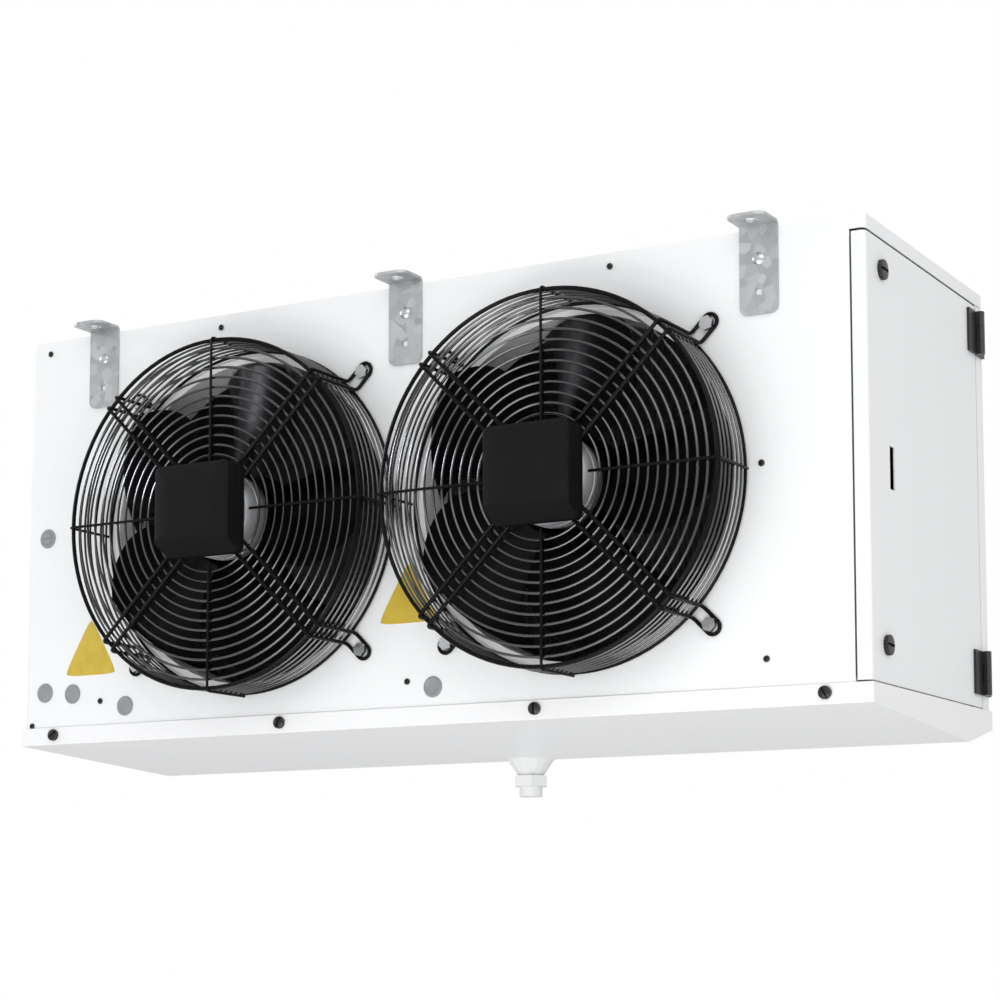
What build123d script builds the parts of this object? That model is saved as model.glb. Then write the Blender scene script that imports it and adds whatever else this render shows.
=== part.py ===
"""Ceiling-hung unit cooler with two 350 mm axial fans, built piece by piece in millimetres.

Everything is drawn in a casing frame: X to the right, Y from the fan panel's front face to the
rear, Z up from the seam between casing and drip tray. The export moves it all at once, so that
the origin lies in the ceiling plane, at the centre of the hanging bolts.
"""
from build123d import *
from math import acos, cos, pi, radians, sin
import os

# ---------------------------------------------------------------- driving dimensions
CASE_W = 1020.0          # casing width
CASE_D = 340.0           # casing depth
CASE_H = 446.0           # casing height above the tray seam
SHEET = 1.5              # casing sheet
GAP = 1.0                # working gap between sheets that move past each other
CORNER = 6.0             # outside radius of the bends at the casing's front corners

FAN_X = 200.0            # fan centres either side of the middle
FAN_Z = 211.0            # fan centre above the tray seam
FAN_BORE = 350.0         # throat of the pressed nozzle
THROAT = 42.0            # depth of the throat behind the panel
BEAD = 4.0               # how far the nozzle's bead stands proud
TIP_GAP = 5.0            # blade tip to throat
BLADES = 5
BLADE_T = 2.0            # blade sheet
BLADE_PITCH = 27.0       # degrees
BLADE_SWEEP = 10.0       # where the rolled sheet is centred, ahead of the blade's root
BLADE_REACH = 92.0       # half the rolled sheet's chord
BLADE_RISE = 17.0        # and how far it is rolled
BLADE_WAIST = 112.0      # radius at which the edges are drawn through their middle point
BLADE_Y = 4.0           # blades' middle, against the panel's face

WIRE = 3.0               # guard wire
ARM_WIRE = 4.0           # thicker wire of the double arms
GUARD_OUT = 13.0         # guard's rim outside the throat
GUARD_Y = 70.0           # rim's front face ahead of the panel
RING_FIRST = 64.0        # innermost guard ring
RING_PITCH = 13.8        # front rings
SIDE_PITCH = 20.0        # rings down the basket's side
ARM_HALF = 7.5           # half the distance between an arm's two wires
ARM_IN = 30.0            # arms' inner ends, under the motor box
EAR_OUT = 21.0           # screws of the guard's ears outside its rim

CAN_R = 53.0             # rotor can
CAN_FRONT = 36.0         # open end of the rotor can ahead of the panel
CAN_REAR = 20.0          # closed end behind the panel
CAN_WALL = 6.0           # winding's clearance inside the can, with the can's wall
STATOR_R = 47.0          # motor housing between the guard and the rotor can
HOUSING = 32.0           # its length
WINDING = 26.0           # length of the winding pack inside the can
SHAFT_R = 7.5
RUN_FIT = 0.05           # radial clearance of every running fit
BOX = 95.0               # square motor box
BOX_CORNER = 6.0
BOX_BEVEL = 18.0         # bevel along its lower edge
BOX_EDGE = 4.0           # chamfer round its face
BOX_FRONT = 107.0        # its face ahead of the panel

HANGER_X = 402.0         # outer hangers either side of the middle one
HANGER_W = 40.0
HANGER_T = 3.0
HANGER_DROP = 91.0       # leg, from the ceiling plane down
HANGER_OUT = 38.0        # flange, out from the casing
HANGER_HOLE = 20.0       # flange hole, out from the casing
LIFT = 6.0               # ceiling plane above the casing's top

DOOR_LIP = 14.0          # door's return on the front
DOOR_TOP = 15.5          # casing strip above the door
LATCH_Y = 41.0
FIXING_FOOT = 38.0       # lower latch and hinge above the tray seam
FIXING_HEAD = 46.0       # upper latch and hinge below the casing's top
HINGE_IN = 21.0          # door's hinge line ahead of the casing's rear
HINGE_X = 5.5            # and outside the end face
FINGER_Y = 57.0          # front edge of the door's finger slot
FINGER_W = 13.0
FINGER_Z = 211.0
FINGER_H = 42.0

TRAY_LIP = 19.5          # tray's vertical lip
TRAY_LOW = 37.0          # its lowest line
TRAY_LOW_IN = 72.0       # and how far that line lies ahead of the casing's rear
FUNNEL_R = 34.0          # drain's funnel at its rim
WELL_DROP = 17.0         # foot of the funnel below the tray's lowest line
NECK_R = 14.5            # neck that the union nut turns on
NUT_H = 12.0
DRAIN_R = 13.0
DRAIN_LENGTH = 11.0      # straight spigot below the nut
TRAY_PIN_OUT = 6.0       # tray hinge behind the casing
TRAY_PIN_UP = 3.0        # and above the seam
TRAY_HINGE_IN = 110.0    # tray hinges in from the ends
TRAY_SCREW_IN = 45.0     # outer tray screws in from the ends

SERVICE = 80.0           # space at each end of the coil
COIL_BACK = 4.0          # coil's rear face ahead of the casing's rear
COIL_D = 130.0
COIL_FOOT = 24.0         # coil above the tray seam
COIL_HEAD = 22.0         # coil's top below the casing's top
FIN_WALL = 3.1           # shell with the mass of 0.2 mm fins every 6 mm and 24 tubes
FIN_BAND = 95.0          # fins drawn in bands of this width, with a gap between two bands
FIN_GAP = 8.0
FIN_GAP_DEPTH = 17.0
TUBE_PITCH = 50.0
TUBE_ROWS = 3
TUBE_R = 8.0
BEND_REACH = 24.0        # return bends beyond the tube sheets

PLUG_R = 11.0
PLUG_IN = 29.0           # outer plugs in from the left end
PIPE_IN = 29.0           # header and connections in from the right end
SUCTION_R = 11.0
SUCTION_EXIT_Z = 84.0
LIQUID_R = 6.0
LIQUID_EXIT_Z = 140.0
STUB_GAP = 2.0           # connections start this far behind the casing
STUB = 32.0              # length of the connections
STUB_STEP = 1.0          # pipes inside are this much smaller in radius
JUNCTION_W = 34.0        # fan motors' junction box: out from the tube sheet
JUNCTION_Y = 80.0        # its front
JUNCTION_D = 80.0
JUNCTION_H = 100.0

# ---------------------------------------------------------------- what follows from them
HALF_W = CASE_W / 2
TOP = CASE_H
CEILING = CASE_H + LIFT
STRIP = TOP - DOOR_TOP + 1.5
FANS = {"left": -FAN_X, "right": FAN_X}
GUARD_R = FAN_BORE / 2 + GUARD_OUT
FIX_R = GUARD_R + EAR_OUT
LATCH_Z = (FIXING_FOOT, CASE_H - FIXING_HEAD)
HINGE_Z = LATCH_Z
HINGE_Y = CASE_D - HINGE_IN
TRAY_LOW_Y = CASE_D - TRAY_LOW_IN
TRAY_PIN = (CASE_D + TRAY_PIN_OUT, TRAY_PIN_UP)
TRAY_HINGES = (TRAY_HINGE_IN - HALF_W, HALF_W - TRAY_HINGE_IN)
WELL_Z = -TRAY_LOW - WELL_DROP
COIL_X = HALF_W - SERVICE
COIL_FRONT = CASE_D - COIL_BACK - COIL_D
COIL_Z = (COIL_FOOT, CASE_H - COIL_HEAD)
COIL_MIDDLE = (COIL_Z[0] + COIL_Z[1]) / 2
TUBES_HIGH = 4 * int((COIL_Z[1] - COIL_Z[0]) / TUBE_PITCH / 4 + 0.01)
SPLIT = TUBES_HIGH // 2  # first tube of the upper circuit
PIPE_X = HALF_W - PIPE_IN
PIPE_END = CASE_D + STUB_GAP + STUB
PIPE_EXITS = (((PIPE_X, SUCTION_EXIT_Z), SUCTION_R), ((PIPE_X, LIQUID_EXIT_Z), LIQUID_R))


# ---------------------------------------------------------------- small helpers
def block(x, y, z):
    """A box from its two limits along each axis."""
    size = (x[1] - x[0], y[1] - y[0], z[1] - z[0])
    middle = ((x[0] + x[1]) / 2, (y[0] + y[1]) / 2, (z[0] + z[1]) / 2)
    return Pos(*middle) * Box(*size)


def rod(radius, length, at, direction):
    """A cylinder that starts at a point and runs along a direction."""
    return extrude(Plane(at, z_dir=direction) * Circle(radius), length)


def save(name, shape):
    """Write one node, moved so that the origin is in the ceiling plane."""
    placed = shape.moved(Location((0, -CASE_D / 2, -CEILING)))
    placed.label = name
    export_step(placed, f"parts/{name}.step")


def group(solids):
    """Separate solids that share one node."""
    return Compound(children=[s for s in solids])


# ---------------------------------------------------------------- casing sheets
def corner(side, z, skin=SHEET):
    """Bend at a front corner: a quarter ring, or a quarter disc if the skin is the whole radius."""
    x, y = side * (HALF_W - CORNER), CORNER
    ring = rod(CORNER, z[1] - z[0], (x, y, z[0]), (0, 0, 1))
    if skin < CORNER:
        ring -= rod(CORNER - skin, z[1] - z[0] + 2, (x, y, z[0] - 1), (0, 0, 1))
    return ring & block(sorted((x, side * HALF_W)), (0, y), z)


def top_panel():
    """Roof sheet with a flange down each end; the right one shows above the door."""
    roof = block((-HALF_W, HALF_W), (CORNER, CASE_D), (TOP - SHEET, TOP))
    roof += block((CORNER - HALF_W, HALF_W - CORNER), (SHEET, CORNER), (TOP - SHEET, TOP))
    right = block((HALF_W - SHEET, HALF_W), (CORNER, CASE_D), (STRIP, TOP))
    left = block((-HALF_W, -HALF_W + SHEET), (CORNER, CASE_D), (STRIP, TOP))
    return roof + right + left


def nozzle(x):
    """Pressed ring: a bead that stands proud of the panel and rolls into the throat."""
    r = FAN_BORE / 2
    profile = Polyline(
        (r, THROAT), (r, -BEAD), (r + 6, -BEAD), (r + 10, 0),
        (r + 10, SHEET), (r + SHEET, SHEET), (r + SHEET, THROAT), close=True)
    ring = revolve(Plane.XY * make_face(profile), Axis.Y)
    return Pos(x, 0, FAN_Z) * ring


def fan_panel():
    """Front sheet with both nozzles, its returns, and the step around the door's lip."""
    edge = HALF_W - DOOR_LIP - 2
    sheet = block((CORNER - HALF_W, edge), (0, SHEET), (0, TOP))
    sheet += block((edge, HALF_W - CORNER), (0, SHEET), (STRIP, TOP))
    sheet += corner(-1, (0, TOP)) + corner(1, (STRIP, TOP))
    sheet += block((-HALF_W + CORNER, edge), (SHEET, 16), (0, SHEET))
    sheet += block((edge - SHEET, edge), (0, 16), (0, TOP - DOOR_TOP - 2))
    for x in FANS.values():
        sheet -= rod(FAN_BORE / 2 + 8, 3 * SHEET, (x, -SHEET, FAN_Z), (0, 1, 0))
    for x in FANS.values():
        sheet += nozzle(x)
    return sheet


def left_end_panel():
    """Fixed end sheet with a return under the roof and one at the base."""
    x = (-HALF_W, -HALF_W + SHEET)
    low = STRIP - 1
    sheet = block(x, (CORNER, CASE_D), (0, low))
    sheet += block((x[1], x[1] + 18), (18, CASE_D - 3), (0, SHEET))
    sheet += block((x[1], x[1] + SHEET), (CORNER, CASE_D - 3), (low - 30, TOP - SHEET))
    return sheet


def rear_frame():
    """Frame around the air inlet, with a return forward along each end."""
    inner = HALF_W - SHEET
    low = STRIP - 1
    plate = block((-inner + SHEET, inner - SHEET), (CASE_D - SHEET, CASE_D), (0, TOP - SHEET))
    plate += block((inner - 2 * SHEET, HALF_W), (CASE_D - SHEET, CASE_D), (0, low))
    plate -= block((-COIL_X + 4, COIL_X - 4), (CASE_D - 5, CASE_D + 5), (COIL_Z[0] + 4, COIL_Z[1] - 4))
    plate += block((inner, HALF_W), (HINGE_Y + 1.5, CASE_D), (0, low))
    plate += block((inner - 2 * SHEET, inner - SHEET), (HINGE_Y - 17, CASE_D), (0, low))
    for at, radius in PIPE_EXITS:
        plate -= rod(radius + 1.5, 10, (at[0], CASE_D - 5, at[1]), (0, 1, 0))
    return plate


def base_frame():
    """Angle ring under the casing that the tray closes over."""
    ring = block((-HALF_W, HALF_W), (0, CASE_D), (-TRAY_LIP + 3, 0))
    ring -= block((-HALF_W + SHEET, HALF_W - SHEET), (SHEET, CASE_D - SHEET), (-TRAY_LIP, -SHEET))
    ring -= block((-HALF_W + 22, HALF_W - 22), (22, CASE_D - 22), (-TRAY_LIP, 1))
    return ring


def divider_plate():
    """Sheet between the fans that keeps the air of one from the other."""
    sheet = block((-SHEET / 2, SHEET / 2), (SHEET, COIL_FRONT), (COIL_Z[0], TOP - SHEET))
    sheet += block((SHEET / 2, 14), (SHEET, 2 * SHEET), (COIL_Z[0], TOP - SHEET))
    return sheet


# ---------------------------------------------------------------- coil
def tube_sheet(side):
    """End plate that carries the coil and runs forward to a flange on the fan panel."""
    x = sorted((side * COIL_X, side * (COIL_X + 2)))
    plate = block(x, (SHEET, CASE_D - SHEET), (SHEET, TOP - SHEET))
    flange = sorted((side * (COIL_X + 2), side * (COIL_X + 16)))
    return plate + block(flange, (SHEET, SHEET + 2), (SHEET, TOP - SHEET))


def fin_pack():
    """Finned block as one piece: a closed shell whose wall holds the metal of fins and tubes."""
    y = (COIL_FRONT, COIL_FRONT + COIL_D)
    wall = FIN_WALL
    pack = block((-COIL_X, COIL_X), y, COIL_Z)
    core = block((wall - COIL_X, COIL_X - wall), (y[0] + wall, y[1] - wall), (COIL_Z[0] + wall, COIL_Z[1] - wall))
    gaps = int(2 * COIL_X / FIN_BAND) - 1
    for k in range(gaps):
        x = (k - (gaps - 1) / 2) * FIN_BAND
        for face, inward in ((y[0], 1), (y[1], -1)):
            for grow in (0, wall):
                reach = sorted((face - inward, face + inward * (FIN_GAP_DEPTH + grow)))
                slot = block((x - FIN_GAP / 2 - grow, x + FIN_GAP / 2 + grow), reach, (COIL_Z[0] - 1, COIL_Z[1] + 1))
                if grow:
                    core -= slot
                else:
                    pack -= slot
    return pack - core


def tube_place(row, level):
    """Centre of one tube, with every other row half a pitch lower."""
    row_pitch = TUBE_PITCH * cos(radians(30))
    y = COIL_FRONT + COIL_D / 2 + (row - 1) * row_pitch
    z = COIL_Z[0] + TUBE_PITCH * (level + 0.5) + (TUBE_PITCH / 4) * (1 if row % 2 else -1)
    return y, z


def bend(side, start, end):
    """A return bend: two legs and a cross piece, mitred, eight-sided to stay light."""
    x = side * (COIL_X + 2)
    leg = side * BEND_REACH
    (y0, z0), (y1, z1) = start, end
    run = 0.26
    mid0 = (y0 + run * (y1 - y0), z0 + run * (z1 - z0))
    mid1 = (y1 - run * (y1 - y0), z1 - run * (z1 - z0))
    route = Polyline(
        (x, y0, z0), (x + leg * 0.62, y0, z0), (x + leg, *mid0), (x + leg, *mid1),
        (x + leg * 0.62, y1, z1), (x, y1, z1))
    section = Plane((x, y0, z0), z_dir=(side, 0, 0)) * RegularPolygon(TUBE_R, 6)
    return sweep(section, route, transition=Transition.RIGHT)


def left_bends():
    """Hairpin ends: each joins two tubes of one row."""
    pairs = [(row, level) for row in range(TUBE_ROWS) for level in range(0, TUBES_HIGH, 2)]
    return group([bend(-1, tube_place(r, k), tube_place(r, k + 1)) for r, k in pairs])


def right_bends():
    """Soldered bends: they join the hairpins into two circuits."""
    joined = [k for k in range(1, TUBES_HIGH - 1, 2) if k + 1 != SPLIT]
    pairs = [((row, k), (row, k + 1)) for row in range(TUBE_ROWS) for k in joined]
    pairs += [((0, SPLIT - 1), (1, SPLIT - 1)), ((0, SPLIT), (1, SPLIT))]
    pairs += [((1, 0), (2, 0)), ((1, TUBES_HIGH - 1), (2, TUBES_HIGH - 1))]
    return group([bend(1, tube_place(*a), tube_place(*b)) for a, b in pairs])


# ---------------------------------------------------------------- fans
def ring_sides(radius):
    """Guard rings are many-sided hoops, with a flat at every arm."""
    return 16 if radius < FAN_BORE * 0.37 else 24


def hoop(radius, y):
    """One guard ring of square wire; radius is over its flats, y is its front face."""
    n = ring_sides(radius)
    corner = radius / cos(pi / n)
    inner = (radius - WIRE) / cos(pi / n)
    ring = RegularPolygon(corner, n, rotation=180 / n) - RegularPolygon(inner, n, rotation=180 / n)
    return extrude(Plane((0, y, 0), z_dir=(0, 1, 0), x_dir=(1, 0, 0)) * ring, WIRE)


def guard_rings(x):
    """Front rings across the fan and the rings of the basket's side."""
    across = int((GUARD_R - RING_FIRST) / RING_PITCH + 0.5)
    deep = int(GUARD_Y / SIDE_PITCH) + 1
    rings = [hoop(RING_FIRST + RING_PITCH * k, -GUARD_Y) for k in range(across)]
    rings += [hoop(GUARD_R, -GUARD_Y + SIDE_PITCH * k) for k in range(deep)]
    return Pos(x, 0, FAN_Z) * group(rings)


def arm(angle):
    """Double wire from the motor over the rim to an ear around its fixing screw."""
    half = ARM_HALF
    face = -GUARD_Y
    thick = ARM_WIRE
    side_r = (GUARD_R, GUARD_R + thick)
    parts = []
    for t in (-half, half):
        wire = (t - thick / 2, t + thick / 2)
        parts.append(block((ARM_IN, side_r[1]), (face - thick, face), wire))
        parts.append(block(side_r, (face - thick, 0), wire))
        parts.append(block((side_r[0], FIX_R + 3), (-thick, 0), wire))
    sides, turn = 12, cos(pi / 12)
    ring = RegularPolygon((half + thick / 2) / turn, sides, rotation=15)
    ring -= RegularPolygon((half - thick / 2) / turn, sides, rotation=15)
    ear = extrude(Plane((FIX_R + 3, 0, 0), z_dir=(0, -1, 0), x_dir=(1, 0, 0)) * ring, thick)
    ear = ear & block((FIX_R + 3, FIX_R + 30), (-2 * thick, 2 * thick), (-30, 30))
    shape = parts[0]
    for p in parts[1:]:
        shape += p
    shape += ear
    return Rot(0, angle, 0) * shape


def spoke(angle):
    """Single wire that ties the rings together between two arms."""
    reach = GUARD_R + WIRE
    wire = (-WIRE / 2, WIRE / 2)
    shape = block((RING_FIRST - 4 * WIRE, reach), (-GUARD_Y - WIRE, -GUARD_Y), wire)
    shape += block((GUARD_R, reach), (-GUARD_Y - WIRE, -3), wire)
    return Rot(0, angle, 0) * shape


def guard_arms(x):
    """Four double arms at the corners and four spokes between them."""
    wires = [arm(a) for a in (45, 135, 225, 315)]
    wires += [spoke(a) for a in (0, 90, 180, 270)]
    return Pos(x, 0, FAN_Z) * group(wires)


def guard_screws(x):
    """Hexagon screws in the ears of one guard: the head clamps both wires of its ear."""
    screws = []
    for a in (45, 135, 225, 315):
        foot = Plane((FIX_R, 0, 0), z_dir=(0, -1, 0), x_dir=(1, 0, 0))
        screw = extrude(foot * RegularPolygon(ARM_HALF - ARM_WIRE / 2 - 1, 6), ARM_WIRE)
        screw += extrude(foot.offset(ARM_WIRE) * RegularPolygon(ARM_HALF, 6, rotation=30), 4)
        screws.append(Pos(x, 0, FAN_Z) * Rot(0, -a, 0) * screw)
    return group(screws)


def stator(x):
    """Motor housing behind the guard's arms, with the winding pack and the shaft's bore."""
    at = Plane((x, -GUARD_Y, FAN_Z), z_dir=(0, 1, 0), x_dir=(1, 0, 0))
    housing = extrude(at * RegularPolygon(STATOR_R, 20), HOUSING)
    housing += extrude(at.offset(HOUSING) * RegularPolygon(CAN_R - CAN_WALL - 3, 16), WINDING)
    return housing - rod(SHAFT_R + RUN_FIT, HOUSING + WINDING + 10, (x, -GUARD_Y - 5, FAN_Z), (0, 1, 0))


def motor_box(x):
    """Square cover over the motor's terminals, bevelled along its lower edge."""
    face = Plane((x, -GUARD_Y - ARM_WIRE, FAN_Z), z_dir=(0, -1, 0)) * RectangleRounded(BOX, BOX, BOX_CORNER)
    depth = BOX_FRONT - GUARD_Y - ARM_WIRE
    box = extrude(face, depth)
    box = chamfer(box.faces().sort_by(Axis.Y)[0].edges(), BOX_EDGE)
    low = FAN_Z - BOX / 2
    bevel = BOX_BEVEL
    wedge = Polyline((-BOX_FRONT - 1, low - 1), (-BOX_FRONT - 1, low + bevel), (-BOX_FRONT + bevel, low - 1),
                     close=True)
    cut = extrude(Plane.YZ * make_face(wedge), BOX, both=True)
    return box - Pos(x, 0, 0) * cut


def rotor_can(x):
    """Cup that turns around the winding, with the shaft pressed into its closed end."""
    length = CAN_FRONT + CAN_REAR
    cup = rod(CAN_R, length, (x, -CAN_FRONT, FAN_Z), (0, 1, 0))
    hollow = Plane((x, -CAN_FRONT, FAN_Z), z_dir=(0, 1, 0), x_dir=(1, 0, 0)) * RegularPolygon(CAN_R - 2, 16)
    cup -= extrude(hollow, length - CAN_WALL)
    return cup + rod(SHAFT_R, GUARD_Y + CAN_REAR - 4, (x, -GUARD_Y + 2, FAN_Z), (0, 1, 0))


def blade_outline():
    """Sickle seen from the front: hub and tip follow circles, the edges are swept arcs."""
    def at(radius, angle):
        return radius * cos(radians(angle)), radius * sin(radians(angle))

    hub, tip = CAN_R - 4, FAN_BORE / 2 - TIP_GAP
    trailing = ThreePointArc(at(hub, -30), at(BLADE_WAIST, -33), at(tip, -9))
    rim = ThreePointArc(at(tip, -9), at(tip, 13), at(tip, 35))
    leading = ThreePointArc(at(tip, 35), at(BLADE_WAIST, 26), at(hub, 36))
    root = ThreePointArc(at(hub, 36), at(hub, 0), at(hub, -30))
    return make_face([trailing, rim, leading, root])


def blade():
    """One blade: sheet rolled to a cylinder, set at its pitch and cut out."""
    reach, rise, back = BLADE_REACH, BLADE_RISE, BLADE_T
    face = ThreePointArc((-reach, 0), (0, rise), (reach, 0))
    rear = ThreePointArc((reach, back), (0, back + rise), (-reach, back))
    strip = make_face([face, Line((reach, 0), (reach, back)), rear, Line((-reach, back), (-reach, 0))])
    pitch = radians(BLADE_PITCH)
    chord = Vector(0, sin(pitch), cos(pitch))
    sheet = extrude(Plane((CAN_R / 2, 0, 0), x_dir=chord, z_dir=(1, 0, 0)) * strip, FAN_BORE / 2)
    sheet = Rot(0, -BLADE_SWEEP, 0) * Pos(0, -rise * 0.55, 0) * sheet
    cutter = extrude(Plane((0, -90, 0), z_dir=(0, -1, 0), x_dir=(1, 0, 0)) * blade_outline(), -180)
    return (sheet & cutter) - rod(CAN_R, 200, (0, -100, 0), (0, 1, 0))


def impeller(x):
    """Five sickle blades welded to the rotor can."""
    one = blade()
    return Pos(x, BLADE_Y, FAN_Z) * group([Rot(0, 360 / BLADES * k, 0) * one for k in range(BLADES)])


# ---------------------------------------------------------------- pipework and service space
def suction_header():
    """Upright pipe that gathers both circuits and leaves through the rear."""
    low = tube_place(0, 0)
    high = tube_place(0, TUBES_HIGH - 1)
    y = low[0]
    pipe = rod(SUCTION_R, high[1] - low[1] + 24, (PIPE_X, y, low[1] - 12), (0, 0, 1))
    for _, z in (low, high):
        stub = Plane((COIL_X + 2, y, z), z_dir=(1, 0, 0)) * RegularPolygon(TUBE_R, 8)
        pipe += extrude(stub, PIPE_X - COIL_X - 2)
    pipe += rod(SUCTION_R - STUB_STEP, PIPE_END - STUB - y, (PIPE_X, y, SUCTION_EXIT_Z), (0, 1, 0))
    return pipe + rod(SUCTION_R, STUB, (PIPE_X, PIPE_END - STUB, SUCTION_EXIT_Z), (0, 1, 0))


def liquid_line():
    """Inlet pipe, distributor and one feeder to each circuit."""
    y = CASE_D - 44
    foot, head = COIL_MIDDLE - 24, COIL_MIDDLE + 2
    body = extrude(Plane((PIPE_X, y, foot)) * RegularPolygon(10, 12), head - foot)
    inlet = Polyline((PIPE_X, y, foot), (PIPE_X, y, LIQUID_EXIT_Z), (PIPE_X, PIPE_END - STUB, LIQUID_EXIT_Z))
    section = Plane((PIPE_X, y, foot), z_dir=(0, 0, -1)) * Circle(LIQUID_R - STUB_STEP)
    body += sweep(section, inlet, transition=Transition.RIGHT)
    body += rod(LIQUID_R, STUB, (PIPE_X, PIPE_END - STUB, LIQUID_EXIT_Z), (0, 1, 0))
    for level, dy in ((SPLIT - 1, -4.0), (SPLIT, 4.0)):
        tube_y, tube_z = tube_place(2, level)
        crown = head + 14
        start = (PIPE_X, y + dy, head)
        route = Polyline(start, (PIPE_X, y + dy, crown), (PIPE_X - 22, tube_y + dy, crown),
                         (PIPE_X - 22, tube_y, tube_z), (COIL_X + 2, tube_y, tube_z))
        body += sweep(Plane(start, z_dir=(0, 0, 1)) * RegularPolygon(3, 6), route, transition=Transition.RIGHT)
    return body


def terminal_box():
    """Junction box for the fan motors, with a lid and two cable glands."""
    wall = COIL_X + 2
    lid = wall + JUNCTION_W
    y = (JUNCTION_Y, JUNCTION_Y + JUNCTION_D)
    z = (COIL_MIDDLE - JUNCTION_H / 2, COIL_MIDDLE + JUNCTION_H / 2)
    box = block((wall, lid), y, z)
    box += block((lid, lid + 6), (y[0] - 3, y[1] + 3), (z[0] - 3, z[1] + 3))
    for step in (-15, 15):
        at = ((wall + lid) / 2, (y[0] + y[1]) / 2 + step, z[0])
        box += extrude(Plane(at, z_dir=(0, 0, -1)) * RegularPolygon(10, 6), 12)
    return box


def latch_brackets():
    """Plates on the fan panel's return that receive the door's quarter-turn studs."""
    x = HALF_W - DOOR_LIP - 2
    plates = []
    for z in LATCH_Z:
        plate = block((x, x + SHEET), (4, LATCH_Y + 15), (z - 14, z + 14))
        window = block((x - 3, x + 5), (LATCH_Y - 5.5, LATCH_Y + 5.5), (z - 5.5, z + 5.5))
        plates.append(plate - window)
    return group(plates)


# ---------------------------------------------------------------- hangers and plugs
def hanger(x, drop):
    """Angle bracket: a leg down the casing and a flange out at the ceiling plane."""
    t, half = HANGER_T, HANGER_W / 2
    section = Polyline((0, CEILING - drop), (0, CEILING - 3), (-3, CEILING), (-HANGER_OUT, CEILING),
                       (-HANGER_OUT, CEILING - t), (-t, CEILING - t), (-t, CEILING - drop), close=True)
    bracket = extrude(Plane.YZ * make_face(section), half, both=True)
    for side in (-1, 1) if drop > 60 else ():
        foot = [e for e in bracket.edges().filter_by(Axis.Y)
                if abs(e.center().X - side * half) < 0.1 and abs(e.center().Z - CEILING + drop) < 0.1]
        bracket = fillet(foot, 8)
        nose = [e for e in bracket.edges().filter_by(Axis.Z)
                if abs(e.center().X - side * half) < 0.1 and abs(e.center().Y + HANGER_OUT) < 0.1]
        bracket = fillet(nose, 10)
    bracket -= rod(7, 20, (0, -HANGER_HOLE, CEILING + 5), (0, 0, -1))
    if drop > 60:
        for z in (CEILING - 36, CEILING - 69):
            bracket -= block((-3.5, 3.5), (-10, 10), (z - 3.5, z + 3.5))
    return Pos(x, 0, 0) * bracket


def front_hangers():
    return group([hanger(x, HANGER_DROP) for x in (-HANGER_X, 0, HANGER_X)])


def rear_hangers():
    turned = [Pos(0, CASE_D, 0) * Rot(0, 0, 180) * hanger(x, 30) for x in (-HANGER_X, 0, HANGER_X)]
    return group(turned)


def blanking_plugs():
    """Push-in plugs: two under the fans, two at the lower left and one half-way up."""
    end = PLUG_IN - HALF_W
    places = [(x - 166, 20) for x in FANS.values()]
    places += [(end, 40), (end + 40, 37), (end, 217)]
    disc = RegularPolygon(PLUG_R, 20)
    return group([extrude(Plane((x, 0, z), z_dir=(0, -1, 0)) * disc, 2) for x, z in places])


# ---------------------------------------------------------------- door at the right end
def door_panel():
    """End door: skin, lip around the front corner, returns and a finger slot."""
    low, high = 2.0, TOP - DOOR_TOP - 1
    out = (HALF_W - SHEET, HALF_W)
    door = block(out, (CORNER, HINGE_Y - 1.5), (low, high))
    door += block((HALF_W - DOOR_LIP, HALF_W - CORNER), (0, SHEET), (low, high))
    door += corner(1, (low, high))
    for z in ((low, low + SHEET), (high - SHEET, high)):
        door += block((HALF_W - DOOR_LIP, HALF_W), (CORNER, HINGE_Y - 30), z)
        door += block((HALF_W - DOOR_LIP, HALF_W - CORNER), (SHEET, CORNER), z)
        door += corner(1, z, CORNER)
    slot = (FINGER_Z - FINGER_H / 2, FINGER_Z + FINGER_H / 2)
    door -= block((HALF_W - 5, HALF_W + 5), (FINGER_Y, FINGER_Y + FINGER_W), slot)
    for z in LATCH_Z:
        door -= rod(4 + RUN_FIT, 10, (HALF_W - 5, LATCH_Y, z), (1, 0, 0))
    return door


def latch(z):
    """Quarter-turn fastener: a twelve-sided head with a coin slot, on a round stud."""
    head = extrude(Plane((HALF_W, LATCH_Y, z), z_dir=(1, 0, 0)) * RegularPolygon(10, 12), 5)
    head -= block((HALF_W + 2.5, HALF_W + 6), (LATCH_Y - 12, LATCH_Y + 12), (z - 1.5, z + 1.5))
    return head + rod(4, 19, (HALF_W, LATCH_Y, z), (-1, 0, 0))


KNUCKLES = ((-23, -8), (-7.7, 7.7), (8, 23))


def door_leaf(z, side):
    """One leaf of a door hinge: the door's has the middle knuckle, the frame's holds the pin."""
    axis_x = HALF_W + HINGE_X
    on_x = (HALF_W, HALF_W + 3)
    moving = side > 0
    far = HINGE_Y - side * (26 if moving else 21)
    near = HINGE_Y - side * 6
    leaf = block(on_x, sorted((far, near)), (z - 23, z + 23))
    for low, high in [KNUCKLES[1]] if moving else [KNUCKLES[0], KNUCKLES[2]]:
        leaf += block(on_x, sorted((near, HINGE_Y)), (z + low, z + high))
        barrel = Plane((axis_x, HINGE_Y, z + low), z_dir=(0, 0, 1)) * RegularPolygon(5, 8, rotation=22.5)
        leaf += extrude(barrel, high - low)
    pin = rod(2.5 + (RUN_FIT if moving else 0), 40, (axis_x, HINGE_Y, z - 20), (0, 0, 1))
    return leaf - pin if moving else leaf + pin


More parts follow.
